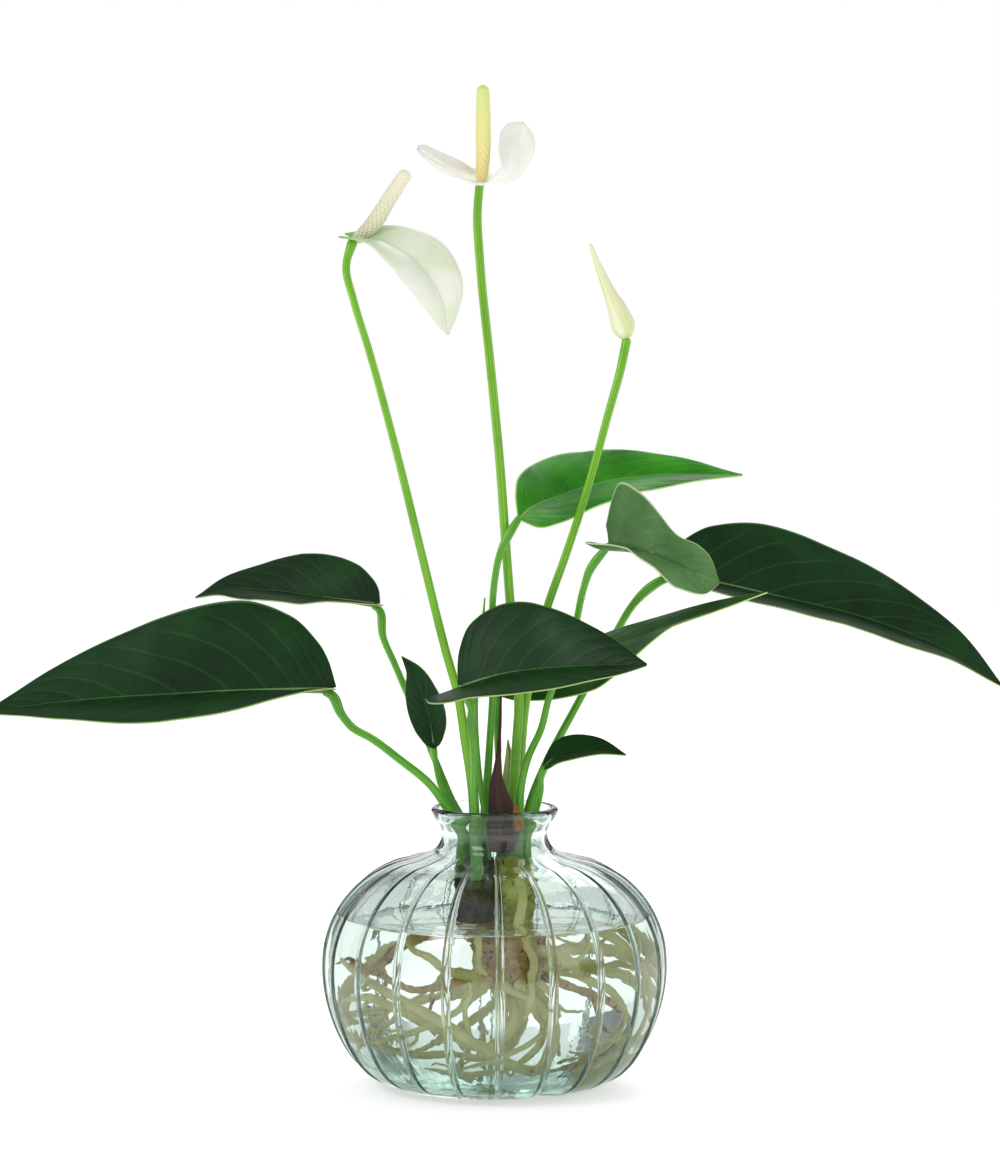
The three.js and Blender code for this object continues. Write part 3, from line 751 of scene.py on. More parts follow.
# %% Lines of the main roots
ROOTS = [
    (1.9, [
        (6, -5, 46), (20, -20, 29), (15, -27, 16), (-5, -30, 25), (-20, -30, 35), (-36, -28, 43),
        (-48, -24, 49), (-56, -14, 54),
    ]),
    (1.6, [
        (3, -2, 45), (6, -10, 31), (-3, -14, 24), (-16, -14, 29), (-31, -13, 36), (-41, -9, 40),
        (-50, -2, 38),
    ]),
    (1.5, [(0, 1, 55), (-18, 5, 56), (-28, 6, 53), (-38, 6, 47), (-46, 2, 50)]),
    (1.3, [(6, 3, 46), (8, 12, 30), (0, 15, 19), (-13, 14, 20), (-25, 12, 20), (-36, 8, 25)]),
    (1.2, [(0, -2, 49), (-17, -8, 44), (-26, -9, 43), (-34, -8, 46), (-42, -13, 51)]),
    (1.1, [(12, -1, 46), (15, -11, 26), (4, -20, 16), (-11, -22, 14), (-24, -20, 16)]),
    (1.5, [
        (10, -3, 54), (24, -16, 53), (32, -27, 49), (43, -30, 44), (48, -28, 35), (43, -28, 26),
        (34, -26, 20),
    ]),
    (1.5, [
        (10, 0, 57), (32, -4, 60), (46, -8, 54), (55, -10, 42), (52, -12, 28), (40, -16, 19),
        (26, -18, 14),
    ]),
    (1.4, [
        (10, 3, 50), (30, 6, 52), (44, 4, 50), (56, 2, 42), (57, 4, 33), (50, 6, 22), (38, 4, 16),
        (24, 0, 13),
    ]),
    (1.3, [
        (9, 4, 47), (26, 16, 46), (38, 22, 42), (46, 24, 34), (44, 24, 25), (34, 20, 18),
        (20, 16, 14),
    ]),
    (1.2, [
        (7, 4, 54), (20, 22, 56), (30, 34, 52), (38, 40, 42), (38, 38, 31), (30, 32, 22),
        (16, 28, 16),
    ]),
    (1.2, [
        (10, -1, 48), (28, -6, 42), (38, -6, 38), (44, -4, 30), (38, -6, 23), (26, -8, 17),
        (14, -10, 13),
    ]),
    (1.3, [(1, 3, 50), (-10, 22, 52), (-22, 32, 48), (-34, 38, 40), (-36, 34, 28), (-26, 26, 19)]),
    (1.2, [(4, 3, 48), (4, 22, 40), (-2, 34, 32), (-12, 40, 24), (-20, 38, 19)]),
    (1.1, [(1, -3, 48), (-14, -20, 36), (-26, -20, 30), (-38, -18, 26), (-44, -8, 24)]),
    (1.1, [(0, 2, 47), (-16, 16, 38), (-30, 20, 34), (-44, 18, 32), (-54, 12, 36)]),
    (1.1, [(8, -4, 49), (20, -24, 42), (22, -36, 36), (14, -44, 28), (0, -44, 21), (-12, -40, 17)]),
]
ROOT_TAPER = [(0, 0.9), (0.15, 1), (0.6, 0.9), (0.9, 0.7), (1, 0.3)]
OLD_ROOTS = (3, 5, 12)
print("main roots:", len(ROOTS))

# %% [markdown]
# Each main root is a rod that tapers towards its tip, with two side roots joined to it. A little is
# added to its thickness, because the root's skin is swollen where it stands in water.

# %% Main roots
SWOLLEN = 1.15
SIDE_ROOTS = 2
for i, (radius, via) in enumerate(ROOTS, start=1):
    route = Route(via)
    radii = [(t, SWOLLEN * share * radius) for t, share in ROOT_TAPER]
    old = i in OLD_ROOTS
    relief = lumps(route.length / 2.5, 0.35 if old else 0.14, i * 7)
    bm = rod(route, radii, 14, 110, relief)
    for k in range(SIDE_ROOTS):
        t = dice.uniform(0.25, 0.85)
        kick = Vector([dice.uniform(-1, 1) for _ in range(3)])
        heading = route.direction(t) + kick * 0.9
        join(bm, rootlet(route.at(t), heading, dice.uniform(16, 34), radius * 0.6, i + k * 40))
    name = f"root_{i:02d}"
    make_piece(name, bm, [brown_root if old else pale_root], name, "root")
print("with the roots:", triangle_count)

# %% [markdown]
# ## Leaves
# An anthurium leaf is a leathery blade on a long stalk. Its two halves meet in a crease along the
# midrib, and lean apart like an open book. Side veins sweep forward from the midrib and join in a
# vein along the margin. The surface is worked out first as a formula, then a grid is laid on it.

# %% The blade
def leaning(keys, t, tangent):
    """A direction between keys, square to the midrib."""
    place = t * (len(keys) - 1)
    i = min(int(place), len(keys) - 2)
    way = Vector(keys[i]).lerp(Vector(keys[i + 1]), place - i)
    return (way - tangent * way.dot(tangent)).normalized()


class Blade:
    """A thin plate over a midrib, near half and far half leaning their own ways."""

    CREASE = 0.12
    LEAST = 0.01

    def __init__(self, midrib, width, shape, near, far, near_shape=None, lobes=(0, 0)):
        self.line = Route(midrib)
        self.width = width
        self.shapes = (near_shape or shape, shape)
        self.leans = (near, far)
        self.lobes = lobes

    def place(self, t, s):
        """The place at t along the midrib and s across, from -1 (near) to 1 (far)."""
        t = min(max(t, 0), 1)
        tangent = self.line.direction(t)
        ridge = math.sqrt(s * s + self.CREASE**2) - self.CREASE
        reaches = (ridge - s) / 2, (ridge + s) / 2
        made = self.line.at(t).copy()
        for shape, lean, reach in zip(self.shapes, self.leans, reaches):
            half_width = self.width * max(value_at(shape, t), self.LEAST)
            made += leaning(lean, t, tangent) * half_width * reach
        lobe = self.lobes[0 if s < 0 else 1] * abs(s) ** 1.5 * (1 - t) ** 4
        return made - tangent * lobe

    def normal(self, t, s):
        step = 0.01
        along = self.place(t + step, s) - self.place(t - step, s)
        over = self.place(t, min(s + step, 1)) - self.place(t, max(s - step, -1))
        return along.cross(over).normalized()

    def half_width(self, t):
        return self.width * max(value_at(self.shapes[1], min(max(t, 0), 1)), self.LEAST)


print("blades are near and far halves of one surface")

# %% [markdown]
# A grid is laid over the blade like a cloth. Its cells crowd at the stalk, at the tip and along the
# midrib, where the surface bends most.

# %% Laying a grid
BASE_CROWDING = 0.6


def lay_blade(blade, columns, rows, lift, flip=False):
    """A grid laid over a blade. `lift(t, s)` raises it above the plain surface, in mm."""
    bm = grid(columns, rows)
    for vert in bm.verts:
        across = vert.co.y * 2
        t = vert.co.x + 0.5
        s = math.copysign(abs(across) ** 1.15, across)
        t -= BASE_CROWDING * math.sin(math.tau * t) / math.tau
        vert.co = blade.place(t, s) + blade.normal(t, s) * lift(t, s)
    if flip:
        bmesh.ops.reverse_faces(bm, faces=bm.faces)
    bmesh.ops.remove_doubles(bm, verts=bm.verts, dist=WELD)
    return bm


LEAF_CELLS = (72, 36)
print("cells of a leaf, along and across:", LEAF_CELLS)

# %% [markdown]
# The material of a leaf follows its UV map: U runs from the stalk to the tip, and V across. From
# these come the midrib, the side veins and the pale margin, so they always lie where they grew.

# %% Veins
VEINS = 11
VEIN_SWEEP = 0.26
FINE_VEINS = 1 / 0.42  # millimetres between the finest veins


def leaf_coordinates(tree):
    """U along the leaf, and s, the distance from the midrib, from 0 to 1 at the margin."""
    parts = uv_parts(tree)
    s = maths(tree, "ABSOLUTE", maths(tree, "MULTIPLY_ADD", parts["Y"], 2.0, -1.0))
    return parts["X"], s


def side_veins(tree, along, s):
    """0 on a side vein and 1 halfway between two."""
    bent = maths(tree, "MULTIPLY", maths(tree, "POWER", s, 1.4), VEIN_SWEEP)
    phase = maths(tree, "MULTIPLY", maths(tree, "SUBTRACT", along, bent), float(VEINS))
    wander = maths(tree, "MULTIPLY_ADD", cloud(tree, 30, detail=1), 0.5, -0.25)
    zigzag = maths(tree, "PINGPONG", maths(tree, "ADD", phase, wander), 0.5)
    return maths(tree, "MULTIPLY", zigzag, 2.0)


print("side veins on each half:", VEINS)

# %% [markdown]
# Leaf tissue is leathery under a waxy skin: three close greens in clouds, a net of fine veins, paler
# side veins and midrib, and a pale vein round the margin. The blends are faint, because from two
# metres the leaf reads as one dark, softly glossy green.

# %% Leaf finishes
def leaf_finish(name, deep, body, light, vein, margin, gloss=0.42, raised=-1.0):
    """Leaf tissue. Veins are sunk on the upper side and raised (1) on the lower."""
    material, tree, shader = new_material(name, Specular_IOR_Level=0.17)
    along, s = leaf_coordinates(tree)
    tissue = ramp(tree, cloud(tree, 26, detail=4), (0.32, deep), (0.5, body), (0.72, light))
    zigzag = side_veins(tree, along, s)
    on_vein = fading(tree, zigzag, 0.0, 0.16)
    near_vein = fading(tree, zigzag, 0.0, 0.75)
    on_vein = maths(tree, "MULTIPLY", on_vein, fading(tree, s, 0.75, 0.95))
    veined = blend_colours(tree, maths(tree, "MULTIPLY", on_vein, 0.08), tissue, vein)
    net = add_node(
        tree,
        "ShaderNodeTexVoronoi",
        {"feature": "DISTANCE_TO_EDGE"},
        Vector=add_node(tree, "ShaderNodeTexCoord").outputs["Object"],
        Scale=1 / (FINE_VEINS * MM),
    )
    on_net = fading(tree, net.outputs["Distance"], 0.0, 0.18)
    veined = blend_colours(tree, maths(tree, "MULTIPLY", on_net, 0.015), veined, vein)
    on_midrib = fading(tree, s, 0.008, 0.035)
    veined = blend_colours(tree, maths(tree, "MULTIPLY", on_midrib, 0.32), veined, vein)
    on_margin = between(tree, s, 0.972, 0.992)
    coloured = blend_colours(tree, on_margin, veined, margin)
    tree.links.new(coloured, shader.inputs["Base Color"])
    dull = maths(tree, "MULTIPLY_ADD", cloud(tree, 18, detail=3), 0.22, gloss - 0.11)
    tree.links.new(dull, shader.inputs["Roughness"])
    pillow = maths(tree, "MULTIPLY", near_vein, raised * 0.7)
    relief = maths(tree, "MULTIPLY_ADD", on_net, raised * 0.10, pillow)
    raise_surface(tree, shader, relief, 0.12)
    return material


# Grown leaves: deep green above, with hardly any vein to see, and dull grey-green below.
dark_top = leaf_finish("dark_leaf_upper_side", "#092a0e", "#0e3412", "#164219", "#6d9a52", "#4f7d42")
dark_under = leaf_finish(
    "dark_leaf_lower_side", "#5a7a4a", "#6f9159", "#86a56c", "#a9bf85", "#a9bd7c", gloss=0.5, raised=1
)
# Young leaves: thinner tissue, so light passes into it and it looks fresh and yellow-green.
bright_top = leaf_finish("young_leaf_upper_side", "#1d6a0a", "#2c8a0c", "#3fa516", "#8fcf4a", "#b4d873")
bright_under = leaf_finish(
    "young_leaf_lower_side", "#5f9a3c", "#76b04c", "#8cc25e", "#b5dc86", "#bcd98c", gloss=0.5, raised=1
)
# A young leaf with a darker upper side.
darker_young_top = leaf_finish(
    "darker_young_leaf_upper_side", "#153f12", "#1f5319", "#2f6e26", "#7fae5c", "#a9c97c"
)
# A leaf that hangs and turns its lower side to the light: both of its sides are greyed as painted sheen.
sheen_grey_top = leaf_finish("sheen_grey_leaf_upper_side", "#2c5726", "#3b6e30", "#4f8440", "#8fae6a", "#b3c692")
sheen_grey_under = leaf_finish(
    "sheen_grey_leaf_lower_side", "#416a38", "#557f48", "#6f9a62", "#a3bf8c", "#bcd09c", gloss=0.42, raised=1
)
# The margin is one clear vein all round the blade, paler than the tissue.
margins = {}
for kind, code in (("dark", "#a6bb74"), ("bright", "#bcdc7c"), ("grey", "#c0d0a0")):
    margins[kind] = new_material(f"{kind}_leaf_margin", Base_Color=rgb(code), Roughness=0.5)[0]
LEAF_SIDES = {
    "dark": (dark_top, dark_under),
    "bright": (bright_top, bright_under),
    "grey": (sheen_grey_top, sheen_grey_under),
}
print("leaf finishes:", len(LEAF_SIDES) * 3)

# %% [markdown]
# A leaf is given by its midrib, its half width with a shape along it, and the ways its near and far
# halves lean. The widest place is a quarter of the way along, and lobes reach back past the stalk.

# %% Leaf shapes
BROAD = [
    (0, 0.03), (0.02, 0.32), (0.05, 0.54), (0.12, 0.82), (0.26, 1), (0.5, 0.82), (0.8, 0.4), (1, 0.02),
]
SLIM = [
    (0, 0.03), (0.03, 0.32), (0.08, 0.56), (0.2, 0.88), (0.4, 1), (0.65, 0.75), (0.88, 0.28), (1, 0.02),
]
WIDE_BASE = [(0, 0.2), (0.03, 0.56), (0.1, 0.8), (0.26, 1), (0.5, 0.82), (0.8, 0.4), (1, 0.02)]
print("points of the broad shape:", len(BROAD))

# %% [markdown]
# Three leaves lean to the left: a broad one far out, a slimmer one above it, and a small new one
# that stands nearly upright between their stalks.

# %% Leaves on the left
LEFT_LEAVES = [
    dict(
        finish="dark",
        width=40,
        shape=BROAD,
        lobes=(3, 3),
        midrib=[
            (-67.5, -10, 164.5), (-100, -12, 164.5), (-132, -14, 163), (-160, -16, 161.5),
            (-186, -18, 159), (-207, -19, 156),
        ],
        near=[(0, -0.98, 0.16), (0, -0.97, -0.2), (0, -0.9, -0.35)],
        far=[(0, 0.33, 0.94), (0, 0.33, 0.94), (0, 0.7, 0.7)],
        petiole=[
            (-13, -4, 92), (-13, -4, 106), (-19, -6, 115), (-26, -8, 125), (-39, -9, 136),
            (-51, -10, 145), (-58, -10, 149), (-62.5, -10, 154.5), (-66.8, -10, 162.6),
        ],
        stalk_radius=1.9,
    ),
    dict(
        finish="dark",
        width=20,
        shape=SLIM,
        near_shape=WIDE_BASE,
        lobes=(6, 2),
        midrib=[(-49, 9, 198), (-72, 22, 200), (-97, 34, 202), (-114, 40, 201.5), (-125, 42, 198)],
        near=[(0.1, -0.98, 0.05), (0, -0.97, -0.1), (0, -0.9, -0.35)],
        far=[(0.1, 0.5, 0.86), (0, 0.5, 0.86), (0, 0.8, 0.5)],
        petiole=[
            (-11, 5, 92), (-12, 5, 105), (-18, 6, 118), (-23, 7, 130), (-29, 8, 145), (-35, 8, 159),
            (-41, 9, 173), (-46, 9, 185), (-48, 9, 196.2),
        ],
        stalk_radius=1.6,
    ),
    dict(
        finish="dark",
        width=8.5,
        shape=SLIM,
        lobes=(2, 2),
        midrib=[(-25, 2, 141), (-27, 1, 153), (-30, -1, 163), (-33, -4, 172), (-38, -7, 178)],
        near=[(-0.9, -0.4, 0), (-0.9, -0.4, 0), (-0.9, -0.4, 0)],
        far=[(0.8, -0.5, 0), (0.8, -0.5, 0.2), (0.8, -0.5, 0.3)],
        petiole=[
            (-12.6, 1, 92), (-13.5, 1, 107), (-18, 2, 116), (-22, 2.5, 123), (-24, 3.2, 131),
            (-25, 3.6, 138.6),
        ],
        stalk_radius=1.3,
    ),
]
print("leaves on the left:", len(LEFT_LEAVES))

# %% [markdown]
# Three stand in the middle: a broad one in front with a deep lobe, a young one behind it that twists
# as it rises, and a young one high above, whose halves open like a book.

# %% Leaves in the middle
MIDDLE_LEAVES = [
    dict(
        finish="dark",
        width=31,
        shape=BROAD,
        near_shape=WIDE_BASE,
        lobes=(15, 2),
        midrib=[(-13, -20, 167), (2, -24, 172), (18, -31, 175), (38, -39, 177), (61, -47, 178)],
        near=[(0.1, -0.98, 0.02), (0.1, -0.96, -0.18), (0.1, -0.9, -0.35)],
        far=[(0.1, 0.32, 0.94), (0.1, 0.32, 0.94), (0.1, 0.6, 0.75)],
        petiole=[
            (-7.5, -9.5, 92), (-8, -11, 107), (-8.5, -13, 123), (-9, -16, 143), (-10, -18.5, 152),
            (-9.5, -19.5, 158), (-12, -20, 165.2),
        ],
        stalk_radius=1.6,
    ),
    dict(
        finish="bright",
        width=17,
        shape=SLIM,
        lobes=(4, 4),
        midrib=[
            (2, 15, 163), (12, 20, 166), (35, 23, 173), (52, 22, 180), (82, 15, 192), (112, 7, 203),
        ],
        near=[(0, -0.5, -0.86), (0, -0.65, -0.75), (0, -0.97, 0.05), (0, -0.97, 0)],
        far=[(0, 0.95, 0.3), (0, 0.95, 0.3), (0, 0.9, 0.4)],
        petiole=[
            (3, 8.5, 92), (3, 11, 106), (2, 13, 125), (1, 14.5, 142), (1, 16, 154), (1.5, 16.8, 161),
        ],
        stalk_radius=1.5,
    ),
    dict(
        finish="bright",
        width=21,
        shape=[(0, 0.05), (0.03, 0.4), (0.1, 0.62), (0.25, 0.8), (0.5, 1), (0.75, 0.6), (1, 0.02)],
        lobes=(1, 1),
        midrib=[
            (10, 1, 234), (14, 12, 237), (23, 26, 240), (36, 38, 244), (50, 46, 247), (73, 52, 249),
            (104, 56, 248.5),
        ],
        near=[(0.3, -0.7, -0.5), (0.2, -0.95, -0.2), (0, -0.95, -0.25)],
        far=[(-0.1, 0.2, 0.95), (-0.2, 0.75, 0.6), (0, 0.8, 0.55)],
        petiole=[
            (-4, 4, 92), (-4, 5, 110), (-3, 5, 126), (-2, 3, 142), (-1, 0, 159), (-1, -2, 180),
            (-1, -4, 197), (0, -4, 209), (2, -4, 219), (5, -3, 226), (9, 0, 232.5),
        ],
        stalk_radius=1.6,
    ),
]
print("leaves in the middle:", len(MIDDLE_LEAVES))

# %% [markdown]
# Three lean to the right: one hangs and shows its grey lower side, a broad one reaches far out, and
# the smallest lies low over the vase.

# %% Leaves on the right
RIGHT_LEAVES = [
    dict(
        # the grey finish is leaf colour greyed as painted sheen
        finish="grey",
        width=27,
        shape=[
            (0, 0.3), (0.02, 0.7), (0.07, 1), (0.2, 0.9), (0.5, 0.42), (0.7, 0.4), (0.88, 0.28), (1, 0.02),
        ],
        lobes=(2, 2),
        midrib=[
            (46, -12, 224), (56, -17, 223), (67, -22, 220), (76, -24, 216), (84, -23, 212),
            (91, -20, 209),
        ],
        near=[(0.1, -0.98, 0.1), (0.1, -0.98, 0.04), (-0.2, -0.6, -0.7), (-0.2, -0.4, -0.9)],
        far=[(-0.1, 0.1, 1), (0, 0.2, 1), (0.3, 0.3, 0.9)],
        petiole=[
            (10, -4, 92), (10, -4, 106), (11, -5, 125), (14, -6, 137), (19, -6, 148), (22, -7, 160),
            (27, -8, 174), (33, -9, 191), (36, -10, 205), (39, -11, 214), (44.5, -12, 221.5),
        ],
        stalk_radius=1.6,
    ),
    dict(
        finish="dark",
        width=31,
        shape=BROAD,
        lobes=(3, 3),
        midrib=[
            (72, 45, 207), (93, 46, 204), (111, 47, 200), (128, 47, 196), (149, 47, 191),
            (170, 46, 184), (191, 44, 175), (212, 41, 161),
        ],
        near=[(0.1, -0.98, 0), (0, -0.97, -0.08), (0, -0.9, -0.4)],
        far=[(0.1, 0.35, 0.94), (0.1, 0.35, 0.94), (0.3, 0.6, 0.75)],
        petiole=[
            (13, 4, 92), (13, 5, 105), (16, 9, 119), (21, 14, 131), (27, 21, 142), (35.5, 31, 156.5),
            (44, 39, 171.5), (51.5, 44, 184.5), (58, 45, 195), (65, 45, 202), (70.5, 45, 205.3),
        ],
        stalk_radius=1.8,
    ),
    dict(
        finish="dark",
        width=7.5,
        shape=SLIM,
        lobes=(1, 1),
        midrib=[(20.5, -10, 133), (25, -13, 137.5), (35, -17, 140.5), (44, -20, 141), (53.5, -22, 139)],
        near=[(0.1, -0.95, -0.3), (0, -0.95, -0.3), (0, -0.9, -0.4)],
        far=[(0, 0.5, 0.86), (0, 0.5, 0.86), (0, 0.6, 0.8)],
        petiole=[(13.5, -5, 92), (14, -5, 106), (17, -7, 114), (19, -9, 123), (19.6, -10, 130.8)],
        stalk_radius=1.3,
    ),
]
LEAVES = LEFT_LEAVES + MIDDLE_LEAVES + RIGHT_LEAVES
print("leaves:", len(LEAVES))

# %% [markdown]
# Now the leaves are laid. Each half arches a little between midrib and margin, the tissue puckers
# between side veins, and the margin waves gently. A Solidify modifier gives the blade its
# thickness, and its lower side and rim get materials of their own.

# %% Lay the leaves
LEAF_THICKNESS = 0.55
FACING_DOWN = (1, 2, 3, 7)
DARKER_YOUNG_LEAF = 5


def thicken(piece, thickness, offset=0.0, under=1, rim=2):
    """Gives a laid blade its thickness, with materials for the lower side and the rim."""
    solid = piece.modifiers.new("thickness", "SOLIDIFY")
    solid.thickness = thickness * MM
    solid.offset = offset
    solid.material_offset = under
    solid.material_offset_rim = rim
    return piece


def leaf_lift(blade, phase, arch, wave, veins=VEINS):
    """Arched halves, puckers between the veins and a waving margin."""

    def lift(t, s):
        far = abs(s)
        width = blade.half_width(t)
        rise = arch * width * far * (1 - far) * 4
        pucker = math.sin(math.pi * ((t - VEIN_SWEEP * far**1.4) * veins % 1)) ** 2
        rise += 0.035 * pucker * min(far * 6, 1) * (1 - far**3) * min(width / 12, 1)
        wander = noise.noise(Vector((t * 5 + phase, math.copysign(1.7, s), phase)))
        rise += wave * wander * far**2 * min(width / 10, 1)
        return rise

    return lift


for i, leaf in enumerate(LEAVES, start=1):
    keys = ("midrib", "width", "shape", "near", "far", "near_shape", "lobes")
    blade = Blade(**{key: leaf[key] for key in keys if key in leaf})
    down = i in FACING_DOWN
    way = -1 if down else 1
    plain = leaf_lift(blade, i * 3.1, 0.045, 1.4 if leaf["width"] > 15 else 0.6)
    bm = lay_blade(blade, *LEAF_CELLS, lambda t, s: way * plain(t, s), flip=down)
    upper, lower = LEAF_SIDES[leaf["finish"]]
    slot_name = f"{leaf['finish']}_leaf"
    if i == DARKER_YOUNG_LEAF:
        upper = darker_young_top
    sides = [upper, lower, margins[leaf["finish"]]]
    piece = make_piece(f"leaf_{i}", bm, sides, f"leaf_{i}", slot_name)
    thicken(piece, LEAF_THICKNESS)
    leaf["blade"], leaf["way"] = blade, way
print("leaves laid, triangles so far:", triangle_count)

# %% [markdown]
# ## Leaf stalks
# A leaf stalk is round, a little ribbed along its length, and swollen at its foot and at the knee
# under the blade, where it turns the leaf to the light. The knee is darker and greyer.

# %% Stalk materials
def stalk_finish(name, shade, body, light, knee, knee_from=0.9):
    """Green stalk with long fibres. U runs round it and V along it."""
    material, tree, shader = new_material(name, Specular_IOR_Level=0.5, Roughness=0.32)
    fibres = cloud(tree, stretch=(16, 2.2, 1), detail=3, source="UV")
    body_colour = ramp(tree, fibres, (0.3, shade), (0.5, body), (0.7, light))
    patches = between(tree, cloud(tree, 16, detail=3), 0.45, 0.75)
    body_colour = blend_colours(tree, maths(tree, "MULTIPLY", patches, 0.5), body_colour, shade)
    at_knee = between(tree, uv_parts(tree)["Y"], knee_from, knee_from + 0.05)
    coloured = blend_colours(tree, maths(tree, "MULTIPLY", at_knee, 0.8), body_colour, knee)
    tree.links.new(coloured, shader.inputs["Base Color"])
    raise_surface(tree, shader, fibres, 0.12)
    return material


# Leaf stalk: smooth green skin over long fibres, glossier than the blade.
petiole_green = stalk_finish("leaf_stalk", "#3a8010", "#55a51d", "#8ecf48", "#5c7a40")
# Flower stalk: the same skin, fresher and yellower.
flower_green = stalk_finish("flower_stalk", "#55940f", "#73b71e", "#a3da50", "#8fc04a", 0.97)
print("stalk finishes:", petiole_green.name, flower_green.name)

# %% [markdown]
# Each stalk is a rod that ends against its blade. From there its fibres run on under the blade as
# the midrib, a second, thinning rod, which stands for the blade together with the laid grid.

# %% Leaf stalks
PETIOLE_SHAPE = [(0, 1.6), (0.12, 1.45), (0.3, 1), (0.85, 0.9), (0.93, 1.15), (1, 0.85)]


def fluted(amount, seed):
    """Shallow flutes round a stalk, with a slow wander."""

    def relief(turn, t):
        wander = noise.noise(Vector((math.cos(turn) * 0.8, math.sin(turn) * 0.8, t * 9 + seed)))
        return amount * (0.5 * math.cos(5 * turn + seed) + wander)

    return relief


for i, leaf in enumerate(LEAVES, start=1):
    via = [Vector(p) for p in leaf["petiole"]]
    root = via[0] - Vector((0, 0, 7))
    blade, way = leaf["blade"], leaf["way"]
    under = blade.place(0.02, 0) - blade.normal(0.02, 0) * 0.6 * way
    route = Route([root, *via, under])
    radii = [(t, share * leaf["stalk_radius"]) for t, share in PETIOLE_SHAPE]
    bm = rod(route, radii, 20, 96, fluted(0.08, i))
    make_piece(f"petiole_{i}", bm, [petiole_green], f"petiole_{i}", "petiole")
    spine = []
    for t in (0.0, 0.15, 0.3, 0.45, 0.6, 0.78):
        spine.append(blade.place(t, 0) - blade.normal(t, 0) * way * 0.35)
    r = leaf["stalk_radius"]
    bm = rod(Route(spine), [(0, 0.7 * r), (0.3, 0.45 * r), (1, 0.12 * r)], 12, 48)
    name = f"leaf_{i}_midrib"
    make_piece(name, bm, [LEAF_SIDES[leaf["finish"]][1]], f"leaf_{i}", f"{leaf['finish']}_leaf")
print("stalks done, triangles so far:", triangle_count)

# %% [markdown]
# ## Flowers
# What looks like a white petal is the spathe, a leaf that shelters the true flowers. Those stand
# packed on the spike, the spadix. One spathe is open, one is ageing and nodding, and one is still
# rolled up in bud.

# %% Flower stalks
FLOWER_STEMS = [
    dict(
        via=[
            (-8, -4, 85), (-8, -4, 106), (-9, -4, 123), (-12, -5, 143), (-15, -5, 162),
            (-20, -5, 180), (-30, -6, 221), (-40, -8, 262), (-51, -10, 303), (-57, -12, 323),
            (-60, -12, 337), (-57, -12, 348),
        ],
        radii=[(0, 2.4), (0.25, 1.9), (0.7, 1.6), (0.96, 1.6), (1, 2.2)],
    ),
    dict(
        via=[
            (5, 0, 85), (5, 0, 106), (8, 1, 126), (9, 2, 141), (10, 2, 159), (8, 2, 180),
            (5, 2, 217), (2, 3, 258), (-2, 3, 299), (-6, 3, 339), (-7, 2, 358), (-6, 1.4, 371),
        ],
        radii=[(0, 2.2), (0.4, 1.9), (0.8, 1.8), (1, 1.7)],
    ),
    dict(
        via=[
            (8, 5, 85), (8, 5, 105), (10, 6, 126), (13, 6, 159), (17, 6, 179), (21, 6, 195),
            (29, 6, 218), (39, 5, 249), (47, 8, 278), (51, 11, 292), (54.4, 14, 307.5),
        ],
        radii=[(0, 2), (0.4, 1.8), (0.8, 1.6), (1, 1.9)],
    ),
]
for i, stem in enumerate(FLOWER_STEMS, start=1):
    bm = rod(Route(stem["via"]), stem["radii"], 20, 128, fluted(0.07, 20 + i))
    make_piece(f"flower_stem_{i}", bm, [flower_green], f"flower_stem_{i}", "flower_stalk")
print("flower stalks:", len(FLOWER_STEMS))

# %% [markdown]
# A spathe is waxy and nearly white. It is green at its base, where it wraps the stalk, and its veins
# run from there to the tip in long curves.

# %% Spathe material
def spathe_finish(name, white, shade, green, reach, gloss=0.38):
    """White tissue, greener towards its base, with long curved veins."""
    material, tree, shader = new_material(
        name,
        Roughness=gloss,
        Coat_Weight=0.15,
        Coat_Roughness=0.25,
    )
    along, s = leaf_coordinates(tree)
    fan = maths(tree, "ADD", maths(tree, "MULTIPLY", s, 5.0), maths(tree, "MULTIPLY", along, 0.6))
    zigzag = maths(tree, "MULTIPLY", maths(tree, "PINGPONG", fan, 0.5), 2.0)
    on_vein = fading(tree, zigzag, 0.0, 0.5)
    tissue = ramp(tree, cloud(tree, 15, detail=3), (0.35, shade), (0.6, white))
    greened = fading(tree, along, 0.0, reach)
    veins = maths(tree, "MULTIPLY", on_vein, maths(tree, "MULTIPLY_ADD", greened, 0.6, 0.04))
    amount = maths(tree, "MAXIMUM", maths(tree, "MULTIPLY", greened, 0.95), veins)
    coloured = blend_colours(tree, amount, tissue, green)
    tree.links.new(coloured, shader.inputs["Base Color"])
    raise_surface(tree, shader, maths(tree, "MULTIPLY", on_vein, -1.0), 0.05)
    return material


# Ageing spathe: waxy petal tissue that turns green again, from its base outwards.
old_spathe = spathe_finish("ageing_spathe", "#edf1e2", "#e0e9cd", "#6db52f", 0.5)
# Fresh spathe: the same tissue, still white almost to the stalk.
new_spathe = spathe_finish("fresh_white_spathe", "#f6f6ee", "#eef0e4", "#e3e9c6", 0.04)
print("spathe finishes:", old_spathe.name, new_spathe.name)

# %% [markdown]
# A spathe is a blade like a leaf, laid with the same tools. The ageing one nods forward and down,
# and the open one is a shallow bowl that rises on the far side behind its spike.

